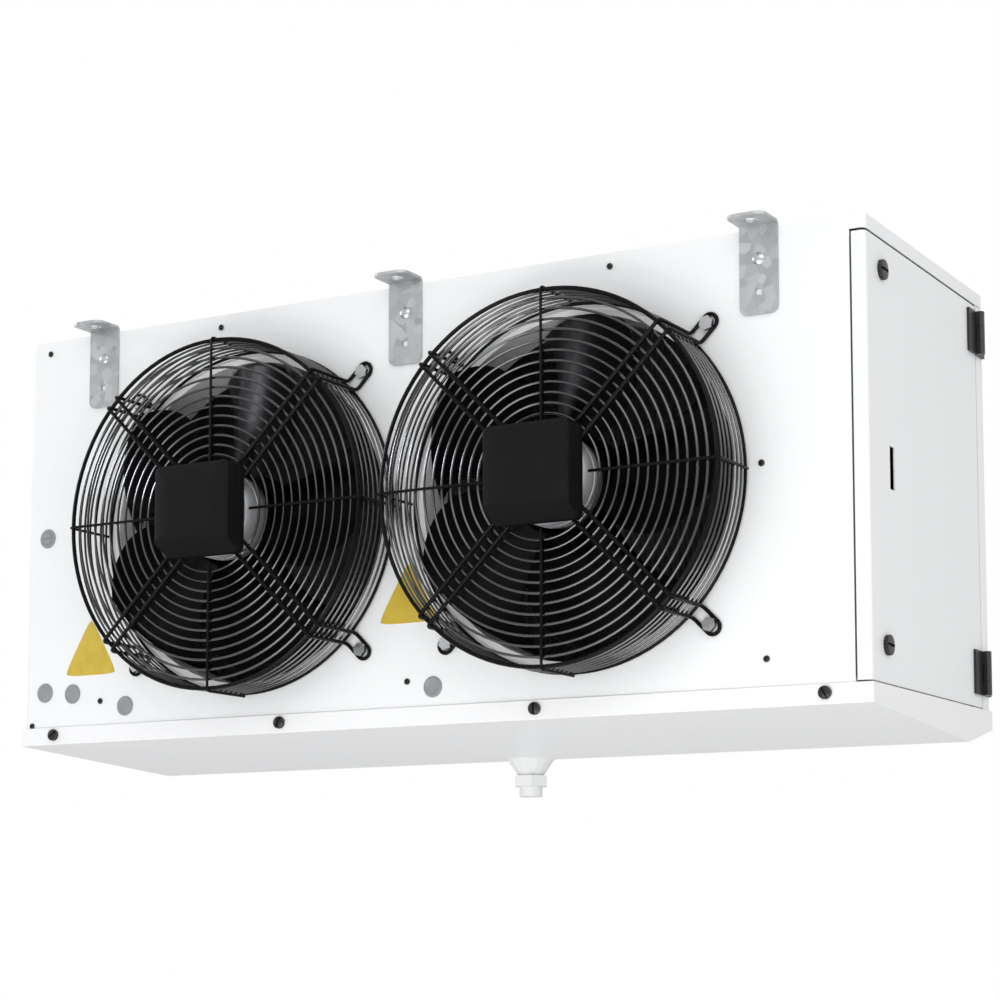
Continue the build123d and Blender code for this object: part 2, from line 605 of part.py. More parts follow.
# ---------------------------------------------------------------- drip tray
def tray_prisms():
    """Outside and inside of the tray, as solids that run from end to end."""
    half = HALF_W + GAP + SHEET
    front, rear = -GAP - SHEET, CASE_D + GAP + SHEET

    def hollow(inset, top):
        lift = inset
        return Polyline((front + inset, top), (front + inset, -TRAY_LIP + lift), (TRAY_LOW_Y, -TRAY_LOW + lift),
                        (rear - inset, -TRAY_LIP + lift), (rear - inset, top), close=True)

    outside = extrude(Plane.YZ * make_face(hollow(0, 0)), half, both=True)
    inside = extrude(Plane.YZ * make_face(hollow(SHEET, 5)), half - SHEET, both=True)

    return outside, inside


def drain_cone(inset):
    """Sixteen-sided funnel under the drain hole; its upper rim is trimmed by the tray's floor."""
    rim = -TRAY_LOW + 12
    neck = (DRAIN_R if inset else NECK_R) - inset
    wide = Plane((0, TRAY_LOW_Y, rim)) * RegularPolygon(FUNNEL_R - inset, 16)
    narrow = Plane((0, TRAY_LOW_Y, WELL_Z)) * RegularPolygon(neck, 16)
    return loft([wide, narrow], ruled=True)


def drip_tray():
    """Sheet tray with a lip all round and a floor that falls to a line with the drain hole."""
    outside, inside = tray_prisms()
    return outside - inside - rod(DRAIN_R + 6, 40, (0, TRAY_LOW_Y, -TRAY_LOW - 20), (0, 0, 1))


def drain_spigot():
    """Drain fitting: a funnel against the tray's floor, a neck for its nut and a straight spigot."""
    outside, inside = tray_prisms()
    neck = NUT_H + 1
    end = neck + DRAIN_LENGTH
    fitting = drain_cone(0) + rod(NECK_R, neck, (0, TRAY_LOW_Y, WELL_Z), (0, 0, -1))
    fitting += rod(DRAIN_R, end, (0, TRAY_LOW_Y, WELL_Z), (0, 0, -1))
    fitting -= drain_cone(1.6) + rod(DRAIN_R - 1.6, end + 2, (0, TRAY_LOW_Y, WELL_Z), (0, 0, -1))
    return fitting - outside - inside


def drain_nut():
    """Union nut around the spigot's neck."""
    top = WELL_Z - 0.5
    nut = extrude(Plane((0, TRAY_LOW_Y, top), z_dir=(0, 0, -1)) * RegularPolygon(NECK_R + 6, 6), NUT_H)
    bore = Plane((0, TRAY_LOW_Y, top + 1), z_dir=(0, 0, -1)) * RegularPolygon((NECK_R + 0.2) / cos(pi / 16), 16)
    return nut - extrude(bore, 20)


def tray_screws():
    """Knurled heads of the four screws that hold the tray's lip shut."""
    face = -GAP - SHEET
    outer = HALF_W - TRAY_SCREW_IN
    return group([extrude(Plane((x, face, -8.5), z_dir=(0, -1, 0)) * RegularPolygon(6.5, 12), 5)
                  for x in (-outer, -outer / 3, outer / 3, outer)])


def tray_leaf(x, moving):
    """One leaf of a tray hinge: the tray's has the middle knuckle, the frame's holds the pin."""
    y, z = TRAY_PIN
    wall = CASE_D + (GAP + SHEET if moving else 0)
    spans = [(-7.7, 7.7)] if moving else [(-24, -8), (8, 24)]
    plate_z = (-17, -2) if moving else (8, 26)
    leaf = block((x - 24, x + 24), (wall, wall + 2), plate_z)
    for low, high in spans:
        leaf += block((x + low, x + high), (wall, wall + 2), sorted((z, plate_z[1] if moving else plate_z[0])))
        leaf += block((x + low, x + high), (wall, y), sorted((z, z + (-3.2 if moving else 3.2))))
        barrel = Plane((x + low, y, z), z_dir=(1, 0, 0)) * RegularPolygon(3.5, 8, rotation=22.5)
        leaf += extrude(barrel, high - low)
    pin = rod(2 + (RUN_FIT if moving else 0), 44, (x - 22, y, z), (1, 0, 0))
    return leaf - pin if moving else leaf + pin


if __name__ == "__main__":
    os.makedirs("parts", exist_ok=True)
    save("top_panel", top_panel())
    save("fan_panel", fan_panel())
    save("left_end_panel", left_end_panel())
    save("rear_frame", rear_frame())
    save("base_frame", base_frame())
    save("divider_plate", divider_plate())
    save("tube_sheet_left", tube_sheet(-1))
    save("tube_sheet_right", tube_sheet(1))
    save("fin_pack", fin_pack())
    save("left_bends", left_bends())
    save("right_bends", right_bends())
    for side, x in FANS.items():
        save(f"guard_rings_{side}", guard_rings(x))
        save(f"guard_arms_{side}", guard_arms(x))
        save(f"guard_screws_{side}", guard_screws(x))
        save(f"stator_{side}", stator(x))
        save(f"motor_box_{side}", motor_box(x))
        save(f"rotor_can_{side}", rotor_can(x))
        save(f"impeller_{side}", impeller(x))
    save("suction_header", suction_header())
    save("liquid_line", liquid_line())
    save("terminal_box", terminal_box())
    save("latch_brackets", latch_brackets())
    save("front_hangers", front_hangers())
    save("rear_hangers", rear_hangers())
    save("blanking_plugs", blanking_plugs())
    save("door_panel", door_panel())
    save("door_hinge_leaves", group([door_leaf(z, 1) for z in HINGE_Z]))
    save("frame_hinge_leaves", group([door_leaf(z, -1) for z in HINGE_Z]))
    save("latch_lower", latch(LATCH_Z[0]))
    save("latch_upper", latch(LATCH_Z[1]))
    save("drip_tray", drip_tray())
    save("drain_spigot", drain_spigot())
    save("drain_nut", drain_nut())
    save("tray_screws", tray_screws())
    save("tray_hinge_leaves", group([tray_leaf(x, True) for x in TRAY_HINGES]))
    save("tray_hinge_brackets", group([tray_leaf(x, False) for x in TRAY_HINGES]))
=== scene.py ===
# %% [markdown]
# # A ceiling-hung unit cooler with two axial fans
# A cold room's unit cooler is a white sheet box that hangs from the ceiling: two fans in front,
# a finned coil behind them, a drip tray below. The frame brings every solid at its true place
# in metres. This file gives the solids their finishes, and adds the fine shapes that are
# easier to work out as surfaces: round guard wire, rolled blades, fins, bends and screw heads.

# %% Load the frame
import math
import bmesh
import bpy
import numpy as np
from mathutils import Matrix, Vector


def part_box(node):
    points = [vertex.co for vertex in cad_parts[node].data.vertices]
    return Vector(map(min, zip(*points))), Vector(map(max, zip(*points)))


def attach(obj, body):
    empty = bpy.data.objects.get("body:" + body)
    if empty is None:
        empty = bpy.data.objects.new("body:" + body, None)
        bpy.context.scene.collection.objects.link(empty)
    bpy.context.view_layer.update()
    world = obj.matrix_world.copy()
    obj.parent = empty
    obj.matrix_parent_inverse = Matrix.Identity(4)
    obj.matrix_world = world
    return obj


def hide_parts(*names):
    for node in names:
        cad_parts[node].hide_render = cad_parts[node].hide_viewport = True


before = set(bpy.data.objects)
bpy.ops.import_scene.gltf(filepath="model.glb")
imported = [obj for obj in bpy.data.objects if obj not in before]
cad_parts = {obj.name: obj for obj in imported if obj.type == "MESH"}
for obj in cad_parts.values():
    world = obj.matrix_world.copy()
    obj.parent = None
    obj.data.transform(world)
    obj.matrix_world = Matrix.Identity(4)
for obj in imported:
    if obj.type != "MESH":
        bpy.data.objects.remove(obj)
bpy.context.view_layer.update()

# %% [markdown]
# All places are read from the frame's boxes, so the fine pieces follow the solids wherever
# these lie. The base frame gives the two reference planes: its front face is the fan panel's
# face, and its top is the seam between casing and tray. `at` then turns millimetres right of
# the middle, behind that face and above that seam into the frame's metres.

# %% Reference planes and fan centres
LOW, HIGH = (np.array(corner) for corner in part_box("base_frame"))
FRONT, REAR, SEAM = LOW[1], HIGH[1], HIGH[2]
HALF, DEPTH = HIGH[0] * 1000, (REAR - FRONT) * 1000


def at(x, y, z):
    """Millimetres from the middle, the front face and the seam, as metres in the frame."""
    shape = np.broadcast_shapes(np.shape(x), np.shape(y), np.shape(z))
    parts = [np.broadcast_to(np.asarray(v, float), shape) / 1000 for v in (x, y, z)]
    return np.stack([parts[0], parts[1] + FRONT, parts[2] + SEAM], axis=-1)


def to_frame(points):
    """The same for an array whose last axis holds x, y and z."""
    return at(points[..., 0], points[..., 1], points[..., 2])


def box_mm(node):
    """Low and high corner of a node's box, in the millimetres that `at` takes."""
    return [(np.array(corner) - [0, FRONT, SEAM]) * 1000 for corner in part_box(node)]


SIDES = ("left", "right")
FAN = {s: np.mean(box_mm(f"rotor_can_{s}"), axis=0)[[0, 2]] for s in SIDES}
ROOF = box_mm("fan_panel")[1][2]
print("fan centres, mm", {s: FAN[s].round(1).tolist() for s in SIDES}, "depth", round(DEPTH, 1))

# %% [markdown]
# Every new piece is a grid of points: row by row in one parameter, column by column in the
# other. Primitives and modifiers could make the same shapes, but a grid keeps the formula in
# sight. `grid_faces` numbers the quads of such a grid, and `Parts` collects grids into one
# mesh. A grid that closes on itself in a direction has its last line joined to its first.

# %% Grids to meshes


def grid_faces(rows, cols, wrap_rows=False, wrap_cols=False):
    """Quads of a rows-by-cols grid; a wrapped direction joins its last line to its first."""
    i, j = np.meshgrid(np.arange(rows if wrap_rows else rows - 1),
                       np.arange(cols if wrap_cols else cols - 1), indexing="ij")
    k, m = (i + 1) % rows, (j + 1) % cols
    quads = np.stack([i * cols + j, i * cols + m, k * cols + m, k * cols + j], axis=-1)
    return quads.reshape(-1, 4)


class Parts:
    """Grids of points and their quads, gathered for one mesh."""

    def __init__(self):
        self.points, self.quads, self.count = [], [], 0

    def add(self, grid, wrap_rows=False, wrap_cols=True):
        """Take in one grid; most of them are rings, whose columns close on themselves."""
        rows, cols = grid.shape[:2]
        self.points.append(grid.reshape(-1, 3))
        self.quads.append(grid_faces(rows, cols, wrap_rows, wrap_cols) + self.count)
        self.count += rows * cols
        return self

    def piece(self, name, body, material, replaces=(), angle=35.0):
        """Make the object, face it outwards, and hang it on its body.

        Points that fall together at a pole or a cap become one, and edges that turn by more
        than the angle stay sharp."""
        mesh = bpy.data.meshes.new(name)
        mesh.from_pydata(np.concatenate(self.points).tolist(), [],
                         np.concatenate(self.quads).tolist())
        work = bmesh.new()
        work.from_mesh(mesh)
        bmesh.ops.remove_doubles(work, verts=work.verts, dist=2e-6)
        bmesh.ops.dissolve_degenerate(work, dist=1e-7, edges=work.edges)
        bmesh.ops.recalc_face_normals(work, faces=work.faces)
        work.to_mesh(mesh)
        work.free()
        mesh.shade_smooth()
        mesh.set_sharp_from_angle(angle=math.radians(angle))
        mesh.materials.append(material)
        obj = bpy.data.objects.new(name, mesh)
        bpy.context.scene.collection.objects.link(obj)
        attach(obj, body)
        if replaces:
            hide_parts(*replaces)
        print(f"{name}: {len(mesh.vertices)} points, {len(mesh.polygons)} faces")


print("mesh helpers ready")

# %% [markdown]
# Four surfaces make nearly everything here. A hoop of wire is a torus. A turned part is a
# profile spun about an axis. A tube is a circle carried along a path, and a path is a row of
# straight runs whose corners are rounded off, as wire is when it is bent round a former.

# %% Hoops, turned parts and tubes


def circle_angles(steps):
    """Angles of a full turn, without the last one that would repeat the first."""
    return np.linspace(0, 2 * np.pi, steps, endpoint=False)


def ring_grid(centre, radius, y, wire, steps=96, sides=8):
    """A hoop of round wire: one angle runs round the fan's axis, the other round the wire."""
    u, v = circle_angles(steps)[:, None], circle_angles(sides)[None, :]
    r = radius + wire * np.cos(v)
    return at(centre[0] + r * np.cos(u), y + wire * np.sin(v) + 0 * u,
              centre[1] + r * np.sin(u))


def lathe_grid(centre, direction, profile, steps=48):
    """A profile of (distance along, radius) turned about an axis through centre, all in mm."""
    axis = np.array(direction, float)
    axis /= np.linalg.norm(axis)
    side = np.cross(axis, [0.31, 0.87, 0.38])
    side /= np.linalg.norm(side)
    other = np.cross(axis, side)
    turn = circle_angles(steps)[:, None]
    spoke = np.cos(turn) * side + np.sin(turn) * other
    rows = np.array(profile, float)
    return to_frame(np.array(centre, float) + rows[:, None, :1] * axis
                    + rows[:, None, 1:] * spoke[None])


def tube_grid(path, radius, sides=10, lean=(0.35, 0.52, 0.78)):
    """A round tube: at each point of the path a circle square to the path's direction.

    The circle's first axis is square to the path and to the lean, its second to both. Each
    end closes on the path's own end point."""
    path = np.asarray(path, float)
    along = np.gradient(path, axis=0)
    along /= np.linalg.norm(along, axis=1, keepdims=True)
    first = np.cross(along, lean)
    first /= np.linalg.norm(first, axis=1, keepdims=True)
    second = np.cross(along, first)
    v = circle_angles(sides)[None, :, None]
    circle = np.cos(v) * first[:, None] + np.sin(v) * second[:, None]
    pole = np.zeros((1, sides, 3))
    return to_frame(np.concatenate([path[:1, None] + pole, path[:, None] + radius * circle,
                                    path[-1:, None] + pole]))


def rounded_path(corners, bend, per_arc=6):
    """Straight runs with each inner corner replaced by a curve that leaves `bend` mm early.

    The curve is the quadratic one with the corner as its middle handle."""
    corners = np.asarray(corners, float)
    out = [corners[:1]]
    t = np.linspace(0, 1, per_arc)[:, None]
    for a, b, c in zip(corners[:-2], corners[1:-1], corners[2:]):
        start = b + (a - b) * min(bend / np.linalg.norm(a - b), 0.49)
        end = b + (c - b) * min(bend / np.linalg.norm(c - b), 0.49)
        out.append((1 - t) ** 2 * start + 2 * t * (1 - t) * b + t ** 2 * end)
    out.append(corners[-1:])
    return np.concatenate(out)


print("surface helpers ready")

# %% [markdown]
# Materials are node trees. A small class wraps a socket, so shader maths reads as a Python
# expression, and one method makes every other node: first its settings, then its inputs.

# %% Shader helpers


class S:
    """A socket whose operators add Math nodes."""

    def __init__(self, tree, socket):
        self.tree, self.socket = tree, socket

    def _math(self, operation, a, b):
        node = self.tree.nodes.new("ShaderNodeMath")
        node.operation = operation
        for k, value in enumerate((a, b)):
            if isinstance(value, S):
                self.tree.links.new(value.socket, node.inputs[k])
            else:
                node.inputs[k].default_value = value
        return S(self.tree, node.outputs[0])

    def __add__(self, o): return self._math("ADD", self, o)
    def __radd__(self, o): return self._math("ADD", o, self)
    def __sub__(self, o): return self._math("SUBTRACT", self, o)
    def __rsub__(self, o): return self._math("SUBTRACT", o, self)
    def __mul__(self, o): return self._math("MULTIPLY", self, o)
    def __rmul__(self, o): return self._math("MULTIPLY", o, self)
    def top(self, o): return self._math("MAXIMUM", self, o)
    def low(self, o): return self._math("MINIMUM", self, o)


class Finish:
    """One material: a Principled shader and the nodes that feed it."""

    def __init__(self, name, **constants):
        self.material = bpy.data.materials.new(name)
        self.material.use_nodes = True
        self.tree = self.material.node_tree
        self.shader = self.tree.nodes["Principled BSDF"]
        for label, value in constants.items():
            self.shader.inputs[label.replace("_", " ")].default_value = value
        self.where = self.node("ShaderNodeTexCoord", out="Object")

    def node(self, kind, settings=None, out=0, **inputs):
        """Add a node: settings first, then values or links, and return one output.

        An input is given by its label, or as i6 where only its number tells it apart."""
        node = self.tree.nodes.new(kind)
        for key, value in (settings or {}).items():
            setattr(node, key, value)
        for key, value in inputs.items():
            socket = node.inputs[int(key[1:]) if key[1:].isdigit() else key.replace("_", " ")]
            if isinstance(value, S):
                self.tree.links.new(value.socket, socket)
            else:
                socket.default_value = value
        return S(self.tree, node.outputs[out])

    def noise(self, scale, detail=3.0, rough=0.5, vector=None):
        """Soft noise in the object's own metres, from 0 to 1 around a half."""
        return self.node("ShaderNodeTexNoise", Vector=vector or self.where, Scale=scale,
                         Detail=detail, Roughness=rough)

    def mix(self, factor, a, b):
        """Blend from colour a to colour b."""
        return self.node("ShaderNodeMix", {"data_type": "RGBA"}, out=2, i0=factor,
                         i6=(*a, 1), i7=(*b, 1))

    def feed(self, **sockets):
        """Link values to the shader's own inputs."""
        for label, value in sockets.items():
            self.tree.links.new(value.socket, self.shader.inputs[label.replace("_", " ")])
        return self

    def bump(self, height, strength, distance):
        """Feed a height to the shader's normal; the distance is its depth in metres."""
        made = self.node("ShaderNodeBump", Height=height, Strength=strength, Distance=distance)
        return self.feed(Normal=made)


print("shader helpers ready")

# %% [markdown]
# **White powder coat.** Thin steel sheet with a baked coat: nearly white, half gloss, with the
# very fine orange-peel that the powder leaves, faint cloudiness, and a slight dulling by touch.
# A flat white would look like paper, so three noises of very different size each do one thing.

# %% Powder coat


def powder_coat(name, colour):
    """Fine peel in the bump, wide clouds in the roughness, a breath of grey in the colour."""
    f = Finish(name, Metallic=0.0, IOR=1.5)
    clouds = f.noise(scale=5.0, detail=4.0, rough=0.55)
    marks = f.noise(scale=38.0, detail=5.0, rough=0.65)
    peel = f.noise(scale=900.0, detail=2.0)
    shade = (clouds - 0.5) * 0.05 + (marks - 0.5) * 0.03
    worn = [c * 0.93 for c in colour]
    f.feed(Base_Color=f.mix((shade + 0.25).top(0.0), colour, worn))
    f.feed(Roughness=0.34 + (clouds - 0.5) * 0.10 + (marks - 0.5) * 0.08)
    return f.bump(peel + marks * 0.6, strength=0.10, distance=0.00025).material


WHITE = powder_coat("white powder coat", (0.845, 0.855, 0.86))
TRAY_WHITE = powder_coat("tray powder coat", (0.84, 0.845, 0.85))
DOOR_WHITE = powder_coat("door powder coat", (0.82, 0.83, 0.835))
print("powder coats", WHITE.name, TRAY_WHITE.name, DOOR_WHITE.name)

# %% [markdown]
# **Black finishes.** Ring wire is dipped and glossy, the thicker arms are duller, and blades
# carry a hard enamel with drawn streaks. They are real blacks, far below a dark grey, because
# lamps and white sheet all round brighten them enough.

# %% Black wire and enamel


def black_wire(name, index, gloss, rough):
    """A dip coat: its index and gloss set how strongly a thin wire shines, runs roughen it."""
    f = Finish(name, Metallic=0.0, IOR=index, Specular_IOR_Level=gloss)
    runs = f.noise(scale=160.0)
    f.feed(Base_Color=f.mix(runs, (0.002, 0.002, 0.0025), (0.006, 0.006, 0.007)))
    f.feed(Roughness=rough + runs * 0.12)
    return f.bump(runs, strength=0.12, distance=0.0002).material


def black_enamel():
    """Noise that is stretched in depth gives drawn streaks, a fine noise gives dust."""
    f = Finish("black blade enamel", Metallic=0.0, IOR=1.5, Specular_IOR_Level=0.04)
    stretched = f.node("ShaderNodeMapping", Vector=f.where, Scale=(26.0, 6.0, 26.0))
    streak = f.noise(scale=3.0, detail=6.0, rough=0.6, vector=stretched)
    dust = f.noise(scale=420.0, detail=2.0)
    f.feed(Base_Color=f.mix(streak, (0.0005, 0.0005, 0.0010), (0.0018, 0.0018, 0.0028)))
    f.feed(Roughness=0.16 + streak * 0.14 + dust * 0.04)
    return f.bump(streak + dust * 0.15, strength=0.16, distance=0.0006).material


WIRE_BLACK = black_wire("black ring wire", index=1.95, gloss=0.5, rough=0.12)
ARM_BLACK = black_wire("black arm wire", index=1.5, gloss=0.10, rough=0.22)
BLADE_BLACK = black_enamel()
print("blacks", WIRE_BLACK.name, ARM_BLACK.name, BLADE_BLACK.name)

# %% [markdown]
# **Mouldings.** Motor covers, hinges, knobs, plugs, drain and junction box are moulded
# plastics. They share one recipe, a fine grain from the mould under a wide cloud, and differ
# in colour, grain and gloss, so one function with those as its arguments makes them all.

# %% Moulded plastics


def moulded(name, dark, light, grain, rough, gloss=0.5):
    """Wide cloud between two colours, fine grain in the roughness and the bump."""
    f = Finish(name, Metallic=0.0, IOR=1.46, Specular_IOR_Level=gloss)
    fine = f.noise(scale=grain, detail=2.0)
    wide = f.noise(scale=45.0, detail=4.0)
    f.feed(Base_Color=f.mix(wide, dark, light))
    f.feed(Roughness=rough + (fine - 0.5) * 0.12 + (wide - 0.5) * 0.12)
    return f.bump(fine, strength=0.18, distance=0.00012).material


COVER_BLACK = moulded("black cover moulding", (0.0045, 0.0045, 0.005), (0.007, 0.007, 0.0075),
                      grain=1600.0, rough=0.6, gloss=0.12)
FIXING_BLACK = moulded("black fixing moulding", (0.008, 0.008, 0.008), (0.018, 0.018, 0.018),
                       grain=900.0, rough=0.32)
PLUG_GREY = moulded("grey plug moulding", (0.235, 0.25, 0.255), (0.285, 0.30, 0.305),
                    grain=900.0, rough=0.5)
BOX_GREY = moulded("grey junction box", (0.40, 0.41, 0.42), (0.46, 0.47, 0.475),
                   grain=1100.0, rough=0.5)
DRAIN_WHITE = moulded("white drain moulding", (0.74, 0.75, 0.75), (0.82, 0.83, 0.83),
                      grain=800.0, rough=0.36)
print("mouldings", COVER_BLACK.name, FIXING_BLACK.name, PLUG_GREY.name, BOX_GREY.name,
      DRAIN_WHITE.name)

# %% [markdown]
# ** Metals.** Hangers and inner sheets are hot-dip galvanised, so the zinc shows as crystals
# of slightly different grey. Voronoi cells are such crystals, each with a grey of its own. The
# motor's housing is a satin casting and the tubes are drawn copper with a little tarnish. The
# fins get a dark grey far below bare aluminium, as painted shade for the casing's dark inside.
# For these one noise between two greys or browns is enough.

# %% Metals


def galvanised(name, scale=95.0, base=(0.47, 0.48, 0.485)):
    """Cells give each zinc crystal its own grey and its own gloss."""
    f = Finish(name, Metallic=0.85)
    warp = f.noise(scale=60.0)
    cells = f.node("ShaderNodeTexVoronoi", {"feature": "F1"}, out="Color", Vector=f.where,
                   Scale=scale)
    edges = f.node("ShaderNodeTexVoronoi", {"feature": "DISTANCE_TO_EDGE"}, Vector=f.where,
                   Scale=scale)
    grey = f.node("ShaderNodeRGBToBW", Color=cells)
    light = [min(1.0, c * 1.32) for c in base]
    dark = [c * 0.80 for c in base]
    f.feed(Base_Color=f.mix((grey * 0.8 + warp * 0.3).low(1.0), dark, light))
    f.feed(Roughness=0.36 + grey * 0.22)
    return f.bump((edges * 5.0).low(1.0) + grey * 0.5, strength=0.22, distance=0.0002).material


def satin_metal(name, dark, light, rough, scale, stretch=(1, 1, 1), metallic=1.0):
    """One noise, stretched the way the metal was drawn, for colour, roughness and bump."""
    f = Finish(name, Metallic=metallic)
    moved = f.node("ShaderNodeMapping", Vector=f.where, Scale=stretch)
    drawn = f.noise(scale=scale, detail=5.0, rough=0.6, vector=moved)
    f.feed(Base_Color=f.mix(drawn, dark, light))
    f.feed(Roughness=rough + (drawn - 0.5) * 0.2)
    return f.bump(drawn, strength=0.12, distance=0.0002).material


ZINC = galvanised("galvanised hanger")
ZINC_FINE = galvanised("galvanised inner sheet", scale=60.0, base=(0.40, 0.41, 0.42))
HOUSING_METAL = satin_metal("cast motor housing", (0.56, 0.57, 0.59), (0.70, 0.71, 0.73),
                            rough=0.42, scale=140.0, metallic=0.5)
# Painted shade: the fins are dark grey rather than bare aluminium, so the inside of the casing
# reads dark.
FIN_PAINTED_SHADE = satin_metal("fin stock in painted shade", (0.20, 0.205, 0.215), (0.30, 0.305, 0.315),
                        rough=0.42, scale=6.0, stretch=(8, 8, 60), metallic=0.5)
COPPER = satin_metal("drawn copper", (0.45, 0.20, 0.11), (0.74, 0.40, 0.25),
                     rough=0.30, scale=48.0)
SCREW_STEEL = satin_metal("zinc-plated screw", (0.52, 0.53, 0.54), (0.68, 0.69, 0.70),
                          rough=0.30, scale=200.0)
print("metals", ZINC.name, ZINC_FINE.name, HOUSING_METAL.name, FIN_PAINTED_SHADE.name, COPPER.name,
      SCREW_STEEL.name)

# %% [markdown]
# The CAD nodes whose shape is already right keep their solids and only change finish: the
# sheets, hinges, pipes and box. The others get theirs too, before a finer piece takes over.

# %% Finishes for the CAD nodes
NODE_FINISH = [
    (WHITE, ["top_panel", "fan_panel", "left_end_panel", "rear_frame", "base_frame"]),
    (DOOR_WHITE, ["door_panel"]),
    (TRAY_WHITE, ["drip_tray"]),
    (ZINC, ["front_hangers", "rear_hangers"]),
    (ZINC_FINE, ["divider_plate", "tube_sheet_left", "tube_sheet_right", "latch_brackets",
                 "tray_hinge_leaves", "tray_hinge_brackets"]),
    (FIN_PAINTED_SHADE, ["fin_pack"]),
    (COPPER, ["suction_header", "liquid_line", "left_bends", "right_bends"]),
    (BOX_GREY, ["terminal_box"]),
    (PLUG_GREY, ["blanking_plugs"]),
    (DRAIN_WHITE, ["drain_spigot", "drain_nut"]),
    (FIXING_BLACK, ["door_hinge_leaves", "frame_hinge_leaves", "latch_upper", "latch_lower",
                    "tray_screws"]),
    (HOUSING_METAL, [f"stator_{s}" for s in SIDES]),
    (COVER_BLACK, [f"motor_box_{s}" for s in SIDES]),
    (BLADE_BLACK, [f"{part}_{s}" for part in ("impeller", "rotor_can") for s in SIDES]),
    (WIRE_BLACK, [f"guard_rings_{s}" for s in SIDES]),
    (ARM_BLACK, [f"guard_arms_{s}" for s in SIDES]),
    (SCREW_STEEL, [f"guard_screws_{s}" for s in SIDES]),
]
for material, names in NODE_FINISH:
    for name in names:
        for slot in bpy.data.objects[name].material_slots:
            slot.material = material
print("finished nodes", sum(len(names) for _, names in NODE_FINISH), "of", len(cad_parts))

# %% [markdown]
# **Wire guard.** The guard is a basket that keeps fingers off the blades: twelve thin rings
# across the front, six more down its side, and a stout rim where the two meet. A curve with a
# bevel could draw such wire, but tori and tubes as meshes have few faces and clean ends.

# %% Guard rings
GUARD_R, GUARD_FRONT, GUARD_FOOT = 186.5, -68.5, -3.5
FRONT_RINGS = np.linspace(62.5, 177.0, 12)
SIDE_RINGS = np.linspace(-58.5, -13.0, 6)
RING_WIRE, SIDE_WIRE, RIM_WIRE, FOOT_WIRE = 1.35, 1.25, 2.2, 1.7


def guard_basket(side):
    """Rings of growing radius in one plane, then rings of one radius one behind another."""
    parts = Parts()
    for radius in FRONT_RINGS:
        parts.add(ring_grid(FAN[side], radius, GUARD_FRONT, RING_WIRE), wrap_rows=True)
    for y in SIDE_RINGS:
        parts.add(ring_grid(FAN[side], GUARD_R, y, SIDE_WIRE), wrap_rows=True)
    parts.piece(f"guard_basket_{side}", "casing", WIRE_BLACK, (f"guard_rings_{side}",))


print("front rings", len(FRONT_RINGS), "side rings", len(SIDE_RINGS))

# %% [markdown]
# Four double arms carry the motor. Each is a single wire: it leaves the motor, runs out across
# the rings, turns back along the basket's side, makes a loop round the fixing screw and comes
# back the same way. Four single wires stand between the arms. The path is drawn once along a
# spoke, as radial, axial and tangential distances, and turned into each of its places.

# %% Guard arms
ARM_WIRE, ARM_HALF, ARM_START, ARM_FACE = 2.0, 7.5, 30, -72.0
LEG_R, LEG_FOOT, EAR_R = 190.0, -2.1, 209.0
SPOKE_WIRE, SPOKE_START, SPOKE_FACE, SPOKE_FOOT = 1.5, 52, ARM_FACE + 0.5, -5
SPOKE_R = GUARD_R + 2.9


def turned(points, angle):
    """Turn (radial, axial, tangential) points about the fan's axis by an angle."""
    c, s = math.cos(math.radians(angle)), math.sin(math.radians(angle))
    r, y, t = np.asarray(points, float).T
    return np.stack([r * c - t * s, y, r * s + t * c], axis=1)


def guard_ties(side):
    """Rim and foot ring, the looped arms and the single wires of one guard."""
    shift = np.array([FAN[side][0], 0, FAN[side][1]])
    parts = Parts()
    for y, wire in ((GUARD_FRONT, RIM_WIRE), (GUARD_FOOT, FOOT_WIRE)):
        parts.add(ring_grid(FAN[side], GUARD_R, y, wire), wrap_rows=True)
    turn = np.linspace(-np.pi / 2, np.pi / 2, 13)
    ear = np.stack([EAR_R + 3 + ARM_HALF * np.cos(turn), LEG_FOOT + 0 * turn,
                    ARM_HALF * np.sin(turn)], axis=1)
    leg = rounded_path([(ARM_START, ARM_FACE, -ARM_HALF), (LEG_R, ARM_FACE, -ARM_HALF),
                        (LEG_R, LEG_FOOT, -ARM_HALF), (EAR_R - 2, LEG_FOOT, -ARM_HALF)], 6.0)
    loop = np.concatenate([leg, ear, leg[::-1] * [1, 1, -1]])
    for angle in (45, 135, 225, 315):
        parts.add(tube_grid(turned(loop, angle) + shift, ARM_WIRE, 10))
    spoke = rounded_path([(SPOKE_START, SPOKE_FACE, 0), (SPOKE_R, SPOKE_FACE, 0),
                          (SPOKE_R, SPOKE_FOOT, 0)], 5.0)
    for angle in (0, 90, 180, 270):
        parts.add(tube_grid(turned(spoke, angle) + shift, SPOKE_WIRE, 8))
    parts.piece(f"guard_ties_{side}", "casing", ARM_BLACK, (f"guard_arms_{side}",))


for s in SIDES:
    guard_basket(s)
    guard_ties(s)

# %% [markdown]
# **Sickle blades.** Each blade is sheet rolled to part of a cylinder and set at a pitch, then
# cut between two swept edges. Cutting a bent plane with a boolean would leave long thin faces
# along the rim, so a point of the blade is found from its radius and its angle instead: the
# angle gives how far it lies along the chord, and the rolled arc gives its depth.

# %% Impellers
PITCH, SWEEP = math.radians(27.0), math.radians(10.0)
REACH, RISE = 92.0, 17.0
ROLL_R = (REACH ** 2 + RISE ** 2) / (2 * RISE)
EDGE_RADII, LEAD, TRAIL = (49, 112, 170), (-30, -33, -9), (36, 26, 35)
BLADES, BLADE_ROOT, BLADE_TIP, BLADE_THICK = 5, 52.0, 170.0, 2.0


def edge_angle(radius, angles):
    """Angle of an edge: the parabola through its angles at three radii."""
    return np.polyval(np.polyfit(EDGE_RADII, angles, 2), radius)


